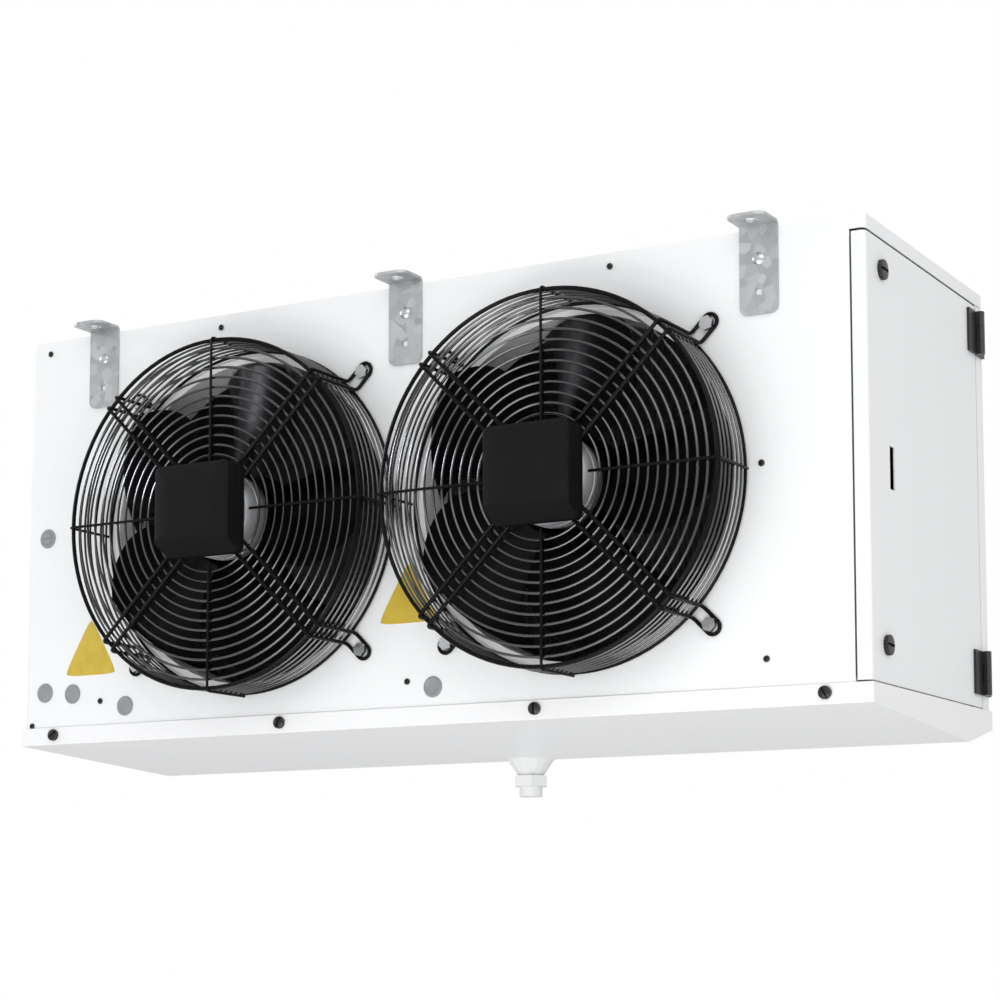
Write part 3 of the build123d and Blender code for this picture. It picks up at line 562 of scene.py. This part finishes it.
def rolled_depth(radius, angle):
    """Depth of the rolled sheet under a point given by radius and angle.

    Across the pitch the point lies at chord * cos(pitch) + bow * sin(pitch), where the bow is
    the arc's height at that chord. Six rounds find the chord, and the depth follows from it."""
    across = radius * np.sin(angle - SWEEP)
    chord = across / math.cos(PITCH)
    for _ in range(6):
        bow = RISE - ROLL_R + np.sqrt(ROLL_R ** 2 - chord ** 2)
        chord = (across - bow * math.sin(PITCH)) / math.cos(PITCH)
    bow = RISE - ROLL_R + np.sqrt(ROLL_R ** 2 - chord ** 2)
    return chord * math.sin(PITCH) - bow * math.cos(PITCH)


def blade_grid(centre, turn, depth):
    """A thin closed section round the chord, carried from hub to tip.

    A cosine runs along the chord and back, and a flattened sine lifts one face and lowers the
    other. Over the last half millimetre the thickness fades out, which rounds the tip."""
    around = circle_angles(56)[None, :]
    radius = np.concatenate([np.linspace(BLADE_ROOT, BLADE_TIP - 1, 30),
                             [BLADE_TIP - 0.3, BLADE_TIP, BLADE_TIP]])[:, None]
    full = np.concatenate([np.ones(30), [0.7, 0.3, 0.0]])[:, None]
    share = (1 - np.cos(around)) / 2
    side = np.sign(np.sin(around)) * np.abs(np.sin(around)) ** 0.35
    lead, trail = edge_angle(radius, LEAD), edge_angle(radius, TRAIL)
    angle = np.radians(lead + (trail - lead) * share)
    y = depth + rolled_depth(radius, angle) + side * full * BLADE_THICK / 2
    spin = angle + math.radians(turn)
    return at(centre[0] + radius * np.cos(spin), y, centre[1] + radius * np.sin(spin))


def impeller(side):
    """The blades of one fan, set so that their depth is centred on the solid's."""
    trial = blade_grid(FAN[side], 0, 0.0)[..., 1]
    own = ((trial.min() + trial.max()) / 2 - FRONT) * 1000
    depth = np.mean(box_mm(f"impeller_{side}"), axis=0)[1]
    parts = Parts()
    for k in range(BLADES):
        parts.add(blade_grid(FAN[side], -360 / BLADES * k, depth - own))
    parts.piece(f"blades_{side}", f"fan_rotor_{side}", BLADE_BLACK, (f"impeller_{side}",),
                angle=50)


for s in SIDES:
    impeller(s)

# %% [markdown]
# **Motor cover.** In front of each motor a square cover hides the terminals. It has round
# corners, a parting groove, chamfered edges and a bevel along its lower edge. A cube with
# modifiers would do for the first of these. Here the outline is carried along the depth with
# an inset for each section, and the bevel is a floor below which no point may lie.

# %% Motor covers
CHAMFER, BEVEL, COVER_CORNER = 4.0, 18.0, 6.0


def square_outline(half, corner):
    """Outline of a square: an arc at each corner, and eight points on each side between."""
    turn = np.linspace(0, np.pi / 2, 8)
    inner = half - corner
    arc = np.stack([inner + corner * np.cos(turn), inner + corner * np.sin(turn)], axis=1)
    quarters = []
    for k in range(4):
        c, s = math.cos(k * math.pi / 2), math.sin(k * math.pi / 2)
        quarter_turn = np.array([[c, s], [-s, c]])
        quarter = arc @ quarter_turn
        after = np.array([-inner, half]) @ quarter_turn
        run = np.linspace(0, 1, 10)[1:-1, None]
        quarters += [quarter, quarter[-1] + (after - quarter[-1]) * run]
    return np.concatenate(quarters)


def motor_cover(side):
    """Sections of (depth, inset): foot, wall, parting groove, wall, chamfer and face."""
    low, high = box_mm(f"motor_box_{side}")
    centre, half = (low + high) / 2, (high[0] - low[0]) / 2
    front, back = low[1], high[1]
    sections = [(back, half - 0.5), (back, 0.6), (back - 0.6, 0.0), (back - 10, 0.0),
                (back - 10.3, 0.7), (back - 11.2, 0.7), (back - 11.5, 0.0),
                (front + CHAMFER + 0.5, 0.0), (front + CHAMFER - 0.3, 0.25),
                (front + 0.35, CHAMFER - 0.2), (front, CHAMFER + 0.5), (front, half * 0.5),
                (front, half - 0.5)]
    rows = []
    for y, inset in sections:
        outline = square_outline(half - inset, max(COVER_CORNER - inset * 0.6, 0.4))
        rows.append(np.stack([centre[0] + outline[:, 0], np.full(len(outline), y),
                              centre[2] + outline[:, 1]], axis=1))
    grid = np.stack(rows)
    lowest = low[2] + BEVEL - 1 - (grid[..., 1] - front)
    grid[..., 2] = np.maximum(grid[..., 2], lowest)
    parts = Parts().add(to_frame(grid))
    for end in (grid[0], grid[-1]):
        middle = end.mean(axis=0, keepdims=True) + 0 * end
        parts.add(to_frame(np.stack([end, middle])))
    parts.piece(f"motor_cover_{side}", "casing", COVER_BLACK, (f"motor_box_{side}",), angle=30)


print("cover chamfer", CHAMFER, "bevel", BEVEL)

# %% [markdown]
# **Motor.** It is an external-rotor motor: a light housing stands still behind the guard's
# arms, and the black can turns round its winding with the blades. Both are turned parts with
# one groove, and the profile closes on itself, so each is a shell with a real wall.

# %% Motor housings and rotor cans
BORE_R, SHAFT_R, SHAFT_FRONT = 7.65, 7.4, -67.6
HOUSING_LONG, CAN_LONG = 32, 56


def motor_housing(side):
    """Housing and winding pack, turned from one closed profile round the shaft's bore."""
    low, high = box_mm(f"stator_{side}")
    r, front, back = (high[0] - low[0]) / 2, low[1], high[1]
    foot = front + HOUSING_LONG
    profile = [(front, BORE_R), (front, r - 1.8), (front + 0.5, r - 0.7), (front + 1.8, r),
               (front + 20, r), (front + 20.6, r - 0.7), (front + 21.8, r - 0.7),
               (front + 22.4, r), (foot - 1.5, r), (foot - 0.4, r - 0.5), (foot, r - 1.6),
               (foot, r - 3), (back - 1, r - 3), (back, r - 4.5), (back, BORE_R),
               (front, BORE_R)]
    centre = (FAN[side][0], 0, FAN[side][1])
    parts = Parts().add(lathe_grid(centre, (0, 1, 0), profile, 96))
    parts.piece(f"motor_housing_{side}", "casing", HOUSING_METAL, (f"stator_{side}",),
                angle=30)


def rotor_can(side):
    """The can, open to the front, and the shaft inside it, each turned from a profile."""
    low, high = box_mm(f"rotor_can_{side}")
    r, rear = (high[0] - low[0]) / 2, high[1]
    rim = rear - CAN_LONG
    can = [(rim, r - 3.5), (rim, r - 0.9), (rim + 0.8, r), (rim + 9, r), (rim + 9.8, r - 0.8),
           (rim + 11.4, r - 0.8), (rim + 12.2, r), (rear - 5, r), (rear - 1.5, r - 1.4),
           (rear, r - 5), (rear, 14), (rear - 2, 12), (rear - 2, 0), (rear - 6, 0),
           (rear - 6, r - 3.5), (rim, r - 3.5)]
    shaft = [(SHAFT_FRONT, 0), (SHAFT_FRONT, SHAFT_R - 0.8), (SHAFT_FRONT + 0.6, SHAFT_R),
             (rear - 4, SHAFT_R), (rear - 4, 0)]
    centre = (FAN[side][0], 0, FAN[side][1])
    parts = Parts().add(lathe_grid(centre, (0, 1, 0), can, 96))
    parts.add(lathe_grid(centre, (0, 1, 0), shaft, 32))
    parts.piece(f"rotor_shell_{side}", f"fan_rotor_{side}", BLADE_BLACK,
                (f"rotor_can_{side}",))


for s in SIDES:
    motor_cover(s)
    motor_housing(s)
    rotor_can(s)

# %% [markdown]
# **Coil fins.** A finned coil is a stack of thin rippled fins pressed onto rows of tubes. An
# array of one fin would look the same; here one function makes the fin for a place, and the
# places follow the coil's width. Each fin is one closed sheet: a loop runs back along one face
# and forward along the other, and the ripple is a sine of the depth.

# %% Fins
COIL_LOW, COIL_HIGH = box_mm("fin_pack")
FIN_PITCH, FIN_THICK, RIPPLE, RIPPLES = 6.0, 0.35, 1.1, 6
CLEAR = 0.2


def fin_grid(x):
    """Loop round the fin's section in depth; two rows carry it from foot to head, two close it."""
    depth = np.linspace(COIL_LOW[1] + CLEAR, COIL_HIGH[1] - CLEAR, 19)
    share = (depth - depth[0]) / (depth[-1] - depth[0])
    ripple = RIPPLE * np.sin(share * RIPPLES * 2 * np.pi)
    loop_y = np.concatenate([depth, depth[::-1]])
    loop_x = np.concatenate([ripple + FIN_THICK / 2, ripple[::-1] - FIN_THICK / 2]) + x
    shut_x = np.concatenate([ripple, ripple[::-1]]) + x
    foot, head = COIL_LOW[2] + CLEAR, COIL_HIGH[2] - CLEAR
    return np.stack([at(shut_x, loop_y, foot), at(loop_x, loop_y, foot),
                     at(loop_x, loop_y, head), at(shut_x, loop_y, head)])


fins = Parts()
for x in np.arange(COIL_LOW[0] + 2.4, COIL_HIGH[0] - 1.5, FIN_PITCH):
    fins.add(fin_grid(x))
fins.piece("coil_fins", "casing", FIN_PAINTED_SHADE, ("fin_pack",), angle=20)

# %% [markdown]
# **Coil tubes.** Copper tubes run from end to end through all the fins. Every other row lies
# half a pitch lower, so that air which passes one row meets the next. Each tube is a turned
# part with closed ends, since its ends show through the tube sheets.

# %% Tubes
TUBE_PITCH, TUBE_ROWS, TUBE_R = 50.0, 3, 8.0
TUBES_HIGH = round((COIL_HIGH[2] - COIL_LOW[2]) / TUBE_PITCH)
ROW_STEP = TUBE_PITCH * math.cos(math.radians(30))
TUBE_PAST = 2.4


def tube_place(row, level):
    """Depth and height of one tube's centre in the staggered pattern."""
    y = (COIL_LOW[1] + COIL_HIGH[1]) / 2 + (row - 1) * ROW_STEP
    z = COIL_LOW[2] + TUBE_PITCH * (level + 0.5) + (TUBE_PITCH / 4) * (1 if row % 2 else -1)
    return np.array([y, z])


left, right = COIL_LOW[0] - TUBE_PAST, COIL_HIGH[0] + TUBE_PAST
tubes = Parts()
for row in range(TUBE_ROWS):
    for level in range(TUBES_HIGH):
        tubes.add(lathe_grid((0, *tube_place(row, level)), (1, 0, 0),
                             [(left, 0), (left, TUBE_R), (right, TUBE_R), (right, 0)], 14))
tubes.piece("coil_tubes", "casing", COPPER, angle=50)

# %% [markdown]
# **Return bends.** Each bend joins two tubes into one path for the refrigerant. At one end
# hairpins join the tubes in pairs; at the other, soldered bends make two circuits. A bend is a
# round tube along half an ellipse, and each of its feet wears a short belled cup.

# %% Return bends
BEND_R, BEND_FOOT, BEND_REACH = TUBE_R - 0.6, 3.0, 20.5
CUP_R, CUP_LONG = TUBE_R + 0.5, 5.2


def bend_grid(side, start, end):
    """Tube along half an ellipse: across by a cosine, outwards by a sine."""
    t = np.linspace(0, np.pi, 15)[:, None]
    flat = (start + end) / 2 + (start - end) / 2 * np.cos(t)
    foot = side * (COIL_HIGH[0] + 1.8)
    x = foot + side * (BEND_FOOT + BEND_REACH * np.sin(t))
    path = np.concatenate([[[foot, *start]], np.concatenate([x, flat], axis=1),
                           [[foot, *end]]])
    return tube_grid(path, BEND_R, 12)


def bends(name, side, pairs, node):
    """All bends of one end: side is -1 for the left end and 1 for the right."""
    cup = [(0, BEND_R), (0, CUP_R), ((CUP_LONG - 0.7) * side, CUP_R), (CUP_LONG * side, BEND_R)]
    parts = Parts()
    for a, b in pairs:
        parts.add(bend_grid(side, tube_place(*a), tube_place(*b)))
        for place in (a, b):
            centre = (side * (COIL_HIGH[0] + 2.1), *tube_place(*place))
            parts.add(lathe_grid(centre, (1, 0, 0), cup, 14))
    parts.piece(name, "casing", COPPER, (node,), angle=50)


SPLIT, LAST = TUBES_HIGH // 2, TUBES_HIGH - 1
hairpins = [((row, k), (row, k + 1)) for row in range(TUBE_ROWS)
            for k in range(0, TUBES_HIGH, 2)]
soldered = [((row, k), (row, k + 1)) for row in range(TUBE_ROWS)
            for k in range(1, LAST, 2) if k + 1 != SPLIT]
soldered += [((0, SPLIT - 1), (1, SPLIT - 1)), ((0, SPLIT), (1, SPLIT)), ((1, 0), (2, 0)),
             ((1, LAST), (2, LAST))]
bends("hairpin_bends", -1, hairpins, "left_bends")
bends("soldered_bends", 1, soldered, "right_bends")

# %% [markdown]
# **Heads.** Screw heads, rivets, quarter-turns and the tray's knurled knobs are one kind of
# surface: a dome given by its radius, with a drive cut into it where a test of the two
# directions says so, and a rim that may be knurled by a cosine of the angle. Booleans would
# cut the same slots, at many more faces for every screw.

# %% Head surface
FACE, END, LEFT_END, BACK = (0, -1, 0), (1, 0, 0), (-1, 0, 0), (0, 1, 0)
CUT_HALF, CROSS_REACH, SLOT_REACH, KNURL_DEEP = 0.13, 0.62, 0.93, 0.035


def head_grid(centre, normal, radius, height, drive="cross", dome=0.35, knurl=0, depth=0.4,
              steps=40, spin=0.0):
    """Rows run out from the middle and down the rim; columns run round. All in mm.

    The dome falls with the square of the radius. The drive's depth is a share of the height,
    and the knurl is the number of waves round the rim."""
    normal = np.array(normal, float)
    side = np.cross(normal, [0.0, 0.0, 1.0] if abs(normal[2]) < 0.5 else [0.0, 1.0, 0.0])
    side /= np.linalg.norm(side)
    other = np.cross(normal, side)
    turn = circle_angles(steps)[None, :]
    share = np.concatenate([np.linspace(0, 0.92, 12), [0.975, 1.0]])[:, None]
    a, b = share * np.cos(turn), share * np.sin(turn)
    cuts = {"cross": ((np.abs(a) < CUT_HALF) | (np.abs(b) < CUT_HALF)) & (share < CROSS_REACH),
            "slot": (np.abs(b) < CUT_HALF) & (share < SLOT_REACH),
            "none": np.zeros(a.shape, bool)}
    rise = height * (1 - dome * share ** 2) - cuts[drive] * height * depth
    rise = np.concatenate([rise, np.full((1, steps), 0.02)])
    wave = 1 + KNURL_DEEP * np.cos(knurl * turn) * (share > 0.9) * (knurl > 0)
    r = radius * share * wave
    r = np.concatenate([r, r[-1:]])
    c, s = np.cos(turn + spin), np.sin(turn + spin)
    return to_frame(np.array(centre, float) + rise[..., None] * normal
                    + (r * c)[..., None] * side + (r * s)[..., None] * other)


print("head surface ready")

# %% [markdown]
# **Screws and rivets.** Small black screws hold the fan panel, zinc-plated ones the left end
# and the rear, and each hanger is riveted on. Every head is turned a little further than the
# one before, because a fitter never leaves all the slots in line.

# %% Screws and rivets
PANEL_SCREWS = [(-482, ROOF - 14), (-240, ROOF - 14), (240, ROOF - 14), (-401, 27), (3, 27),
                (405, 27), (402, 216), (-499, 3)]
LEFT_SCREWS = [(y, z) for y in (24, 316) for z in (60, 217, 380)]
REAR_SCREWS = [(x, z) for x in (-440, -147, 147, 440) for z in (14, ROOF - 12)]
HANGER_X, HANGER_T = (-402, 0, 402), 3.0

panel_screws = Parts()
for k, (x, z) in enumerate(PANEL_SCREWS):
    panel_screws.add(head_grid((x, 0, z), FACE, 3.2, 2.0, spin=0.7 * k, steps=32))
panel_screws.piece("panel_screws", "casing", FIXING_BLACK, angle=40)

sheet_screws = Parts()
for k, (y, z) in enumerate(LEFT_SCREWS):
    sheet_screws.add(head_grid((-HALF, y, z), LEFT_END, 4.0, 2.4, spin=0.9 * k, steps=32))
for k, (x, z) in enumerate(REAR_SCREWS):
    sheet_screws.add(head_grid((x, DEPTH, z), BACK, 4.0, 2.4, spin=0.8 * k, steps=32))
sheet_screws.piece("sheet_screws", "casing", SCREW_STEEL, angle=40)

rivets = Parts()
for x in HANGER_X:
    rivets.add(head_grid((x, -HANGER_T, ROOF - 30), FACE, 6.0, 2.6, drive="none", dome=0.75))
    for off in (-8, 8):
        rivets.add(head_grid((x + off, DEPTH + HANGER_T, ROOF - 12), BACK, 4.4, 2.2,
                             drive="none", dome=0.75))
rivets.piece("hanger_rivets", "casing", SCREW_STEEL, angle=40)

# %% [markdown]
# **Quarter-turns and knobs.** The door's black quarter-turns and the tray's four knobs are
# turned by hand or with a coin, so they are knurled and slotted. They take the place of plain
# prisms, and every head sits at the centre of the solid it stands for.

# %% Latches and knobs
STUD = [(-18.9, 0), (-18.9, 3.4), (-18.3, 4.0), (-0.2, 4.0), (-0.2, 0)]

for name in ("latch_upper", "latch_lower"):
    _, y, z = np.mean(box_mm(name), axis=0)
    parts = Parts().add(head_grid((HALF, y, z), END, 9.6, 4.9, drive="slot", dome=0.12,
                                  knurl=16, depth=0.55, steps=96))
    parts.add(lathe_grid((HALF, y, z), END, STUD, 28))
    parts.piece(name.replace("latch", "quarter_turn"), name, FIXING_BLACK, (name,), angle=40)

KNOB_LOW, KNOB_HIGH = box_mm("tray_screws")
KNOB_R = 6.3
knobs = Parts()
for k, x in enumerate(np.linspace(KNOB_LOW[0] + 6.5, KNOB_HIGH[0] - 6.5, 4)):
    centre = (x, KNOB_HIGH[1], (KNOB_LOW[2] + KNOB_HIGH[2]) / 2)
    knobs.add(head_grid(centre, FACE, KNOB_R, 4.9, drive="slot", dome=0.25, knurl=14,
                        depth=0.5, steps=84, spin=0.6 + 0.5 * k))
knobs.piece("tray_knobs", "drip_tray", FIXING_BLACK, ("tray_screws",), angle=40)

# %% [markdown]
# **Blanking plugs.** Holes in the front that this model of cooler doesn't need are shut with
# push-in plugs. A plug has a rolled rim and a dished middle, which is a profile turned about
# the hole's axis; one of them is slotted so that it can be turned out.

# %% Plugs
PLUGS = [(-366, 20), (34, 20), (29 - HALF, 40), (69 - HALF, 37), (29 - HALF, 217)]
DISH = [(0, 0.0), (0, 10.9), (0.9, 10.9), (1.6, 10.3), (1.95, 9.2), (1.9, 8.2), (1.2, 7.2),
        (1.1, 3.0), (1.1, 0.0)]

plugs = Parts()
for x, z in PLUGS:
    plugs.add(lathe_grid((x, 0, z), FACE, DISH, 40))
slotted_x, slotted_z = PLUGS[-1]
plugs.add(head_grid((slotted_x, -1.0, slotted_z), FACE, 6.6, 0.9, drive="slot", dome=0.1,
                    depth=0.8))
plugs.piece("dished_plugs", "casing", PLUG_GREY, ("blanking_plugs",), angle=35)

# %% [markdown]
# **Blank markers.** A plain yellow triangle is stuck below and left of each guard. It bears no
# sign: its outline is a rounded triangle found from one angle, and its face is very slightly
# domed, so that it reads as thin film on the sheet and not as paint.

# %% Markers
MARKER_SIDE, MARKERS = 76.0, ((-416.0, 79.0), (4.0, 110.0))
CORNER_REACH, ROUNDING = 1.955, 8


def yellow_film():
    """Worn print: one cloud between a dark and a light yellow."""
    f = Finish("yellow film", IOR=1.45)
    wear = f.noise(scale=60.0, detail=5.0, rough=0.6)
    fine = f.noise(scale=500.0)
    f.feed(Base_Color=f.mix(wear, (0.42, 0.30, 0.020), (0.72, 0.53, 0.070)))
    f.feed(Roughness=0.42 + wear * 0.16)
    return f.bump(fine + wear, strength=0.12, distance=0.0002).material


def marker_grid(centre, side_length):
    """Rounded triangle, point up: rings from the middle out, then back to the sheet.

    The edge lies at the apothem over the cosine of the angle from a side's middle. A power
    mean with a circle of a little under two apothems rounds the corners."""
    turn = circle_angles(72)
    third = 2 * np.pi / 3
    within = (turn - np.pi / 2 + third / 2) % third - third / 2
    apothem = side_length / (2 * math.sqrt(3))
    edge = apothem / np.cos(third / 2 - np.abs(within))
    reach = CORNER_REACH * apothem
    edge = 1 / (1 / edge ** ROUNDING + 1 / reach ** ROUNDING) ** (1 / ROUNDING)
    share = np.array([0.0, 0.35, 0.7, 0.96, 1.0, 1.0])[:, None]
    lift = np.array([0.30, 0.29, 0.26, 0.22, 0.18, 0.02])[:, None]
    r = share * edge
    return at(centre[0] + r * np.cos(turn), -lift + 0 * r, centre[1] + r * np.sin(turn))


markers = Parts()
for centre in MARKERS:
    markers.add(marker_grid(centre, MARKER_SIDE))
markers.piece("blank_markers", "casing", yellow_film(), angle=60)

# %% [markdown]
# **Door seal.** A dark rubber strip lies in the step between the fan panel and the door's lip,
# and shows as a thin line. It is a round cord carried up the door's height, with a faint wave
# in its depth, since pressed rubber never lies quite straight.

# %% Seal
SEAL_R, SEAL_STEPS = 0.85, 24


def rubber():
    """Fine grain and a wide cloud between two near-blacks."""
    f = Finish("dark sealing rubber", IOR=1.5)
    grain = f.noise(scale=800.0)
    wide = f.noise(scale=30.0, detail=4.0)
    f.feed(Base_Color=f.mix(wide, (0.018, 0.018, 0.02), (0.045, 0.045, 0.05)))
    f.feed(Roughness=0.6 + grain * 0.2)
    return f.bump(grain, strength=0.2, distance=0.0002).material


DOOR_LOW, DOOR_HIGH = box_mm("door_panel")
strip_z = np.linspace(DOOR_LOW[2] + 4, DOOR_HIGH[2] - 4, SEAL_STEPS)
strip = np.stack([np.full(SEAL_STEPS, DOOR_LOW[0] - 1.0), 0.9 + 0.12 * np.sin(strip_z * 0.21),
                  strip_z], axis=1)
seal = Parts().add(tube_grid(strip, SEAL_R, 8, lean=(1, 0, 0)))
seal.piece("door_seal", "casing", rubber(), angle=60)

# %% [markdown]
# **Floor.** A plain pale floor lies well below the hanging unit and catches only a faint
# shadow. It is one flat grid with a matt finish.

# %% Floor
FLOOR, FLOOR_HALF, FLOOR_LINES = SEAM - 0.95, 9, 41


def floor_material():
    """Matt pale grey with a very wide, very faint cloud."""
    f = Finish("studio floor", Specular_IOR_Level=0.1)
    wide = f.noise(scale=1.2)
    f.feed(Base_Color=f.mix(wide, (0.80, 0.80, 0.80), (0.83, 0.83, 0.83)))
    f.feed(Roughness=0.85 + wide * 0.1)
    return f.material


line = np.linspace(-1, 1, FLOOR_LINES) * FLOOR_HALF
u, v = np.meshgrid(line, line, indexing="ij")
mesh = bpy.data.meshes.new("studio_floor")
mesh.from_pydata(np.stack([u, v, FLOOR + 0.0 * u], axis=-1).reshape(-1, 3).tolist(), [],
                 grid_faces(FLOOR_LINES, FLOOR_LINES).tolist())
mesh.materials.append(floor_material())
floor = bpy.data.objects.new("studio_floor", mesh)
bpy.context.scene.collection.objects.link(floor)
print("floor at", round(float(FLOOR), 3))

# %% [markdown]
# **World.** A white room fills in from all around. What the camera sees directly is pure
# white, while the light on the unit is weaker, so pale sheet keeps its shades. A Light Path
# node tells the two apart.

# %% World
FILL = 0.74
world = bpy.data.worlds.new("studio")
bpy.context.scene.world = world
world.use_nodes = True
nodes, links = world.node_tree.nodes, world.node_tree.links
nodes.clear()
out, mixer = nodes.new("ShaderNodeOutputWorld"), nodes.new("ShaderNodeMixShader")
fill, white = nodes.new("ShaderNodeBackground"), nodes.new("ShaderNodeBackground")
fill.inputs["Color"].default_value = (0.995, 0.995, 1.0, 1)
fill.inputs["Strength"].default_value = FILL
white.inputs["Color"].default_value = (1, 1, 1, 1)
white.inputs["Strength"].default_value = 1.0
rays = nodes.new("ShaderNodeLightPath")
links.new(rays.outputs["Is Camera Ray"], mixer.inputs[0])
links.new(fill.outputs[0], mixer.inputs[1])
links.new(white.outputs[0], mixer.inputs[2])
links.new(mixer.outputs[0], out.inputs[0])
print("world fill", FILL)

# %% [markdown]
# **Lamps.** A large soft key stands above the camera, a second lamp lights the door's end, and
# a low one the tray's underside. The small cool lamp far to the left grazes the front: it is
# set where the upper blades mirror it, and gives them their streaks of light.

# %% Lamps


def lamp(name, place, aim, width, height, watts, colour=(1, 1, 1)):
    """A rectangular area lamp that looks at a point."""
    data = bpy.data.lights.new(name, "AREA")
    data.shape, data.size, data.size_y = "RECTANGLE", width, height
    data.energy, data.color = watts, colour
    obj = bpy.data.objects.new(name, data)
    obj.location = place
    obj.rotation_euler = (Vector(aim) - Vector(place)).to_track_quat("-Z", "Y").to_euler()
    bpy.context.scene.collection.objects.link(obj)
    print("lamp", name, watts, "W")


lamp("key", (1.5, -2.9, 1.5), (0.2, -0.2, -0.2), width=2.4, height=1.6, watts=19)
lamp("side", (3.2, -0.9, 0.5), (0.3, 0, -0.2), width=1.8, height=1.8, watts=13)
lamp("low", (0.4, -1.7, -1.3), (0, -0.05, -0.48), width=2.4, height=1.2, watts=29)
lamp("rake", (-2.6, -0.62, 0.62), (-0.1, -0.16, -0.15), width=0.40, height=0.35, watts=10,
     colour=(0.90, 0.93, 1.0))

# %% [markdown]
# **Camera.** It stands right of the unit and a little below it, and looks slightly up, so the
# tray's underside and the door end both show. The lens is a long one, which keeps the box's
# edges nearly parallel.

# %% Camera
HEADING, TILT = math.radians(29.805), math.radians(-5.768)
camera_data = bpy.data.cameras.new("camera")
camera_data.lens, camera_data.sensor_width, camera_data.shift_y = 85.4, 36.0, 0.2
camera = bpy.data.objects.new("camera", camera_data)
look = Vector((-math.sin(HEADING) * math.cos(TILT), math.cos(HEADING) * math.cos(TILT),
               -math.sin(TILT)))
camera.location = (1.2964, -2.2356, -0.6900)
camera.rotation_euler = look.to_track_quat("-Z", "Y").to_euler()
bpy.context.scene.collection.objects.link(camera)
bpy.context.scene.camera = camera
bpy.context.scene.view_settings.view_transform = "Standard"
print("camera at", tuple(round(v, 3) for v in camera.location))
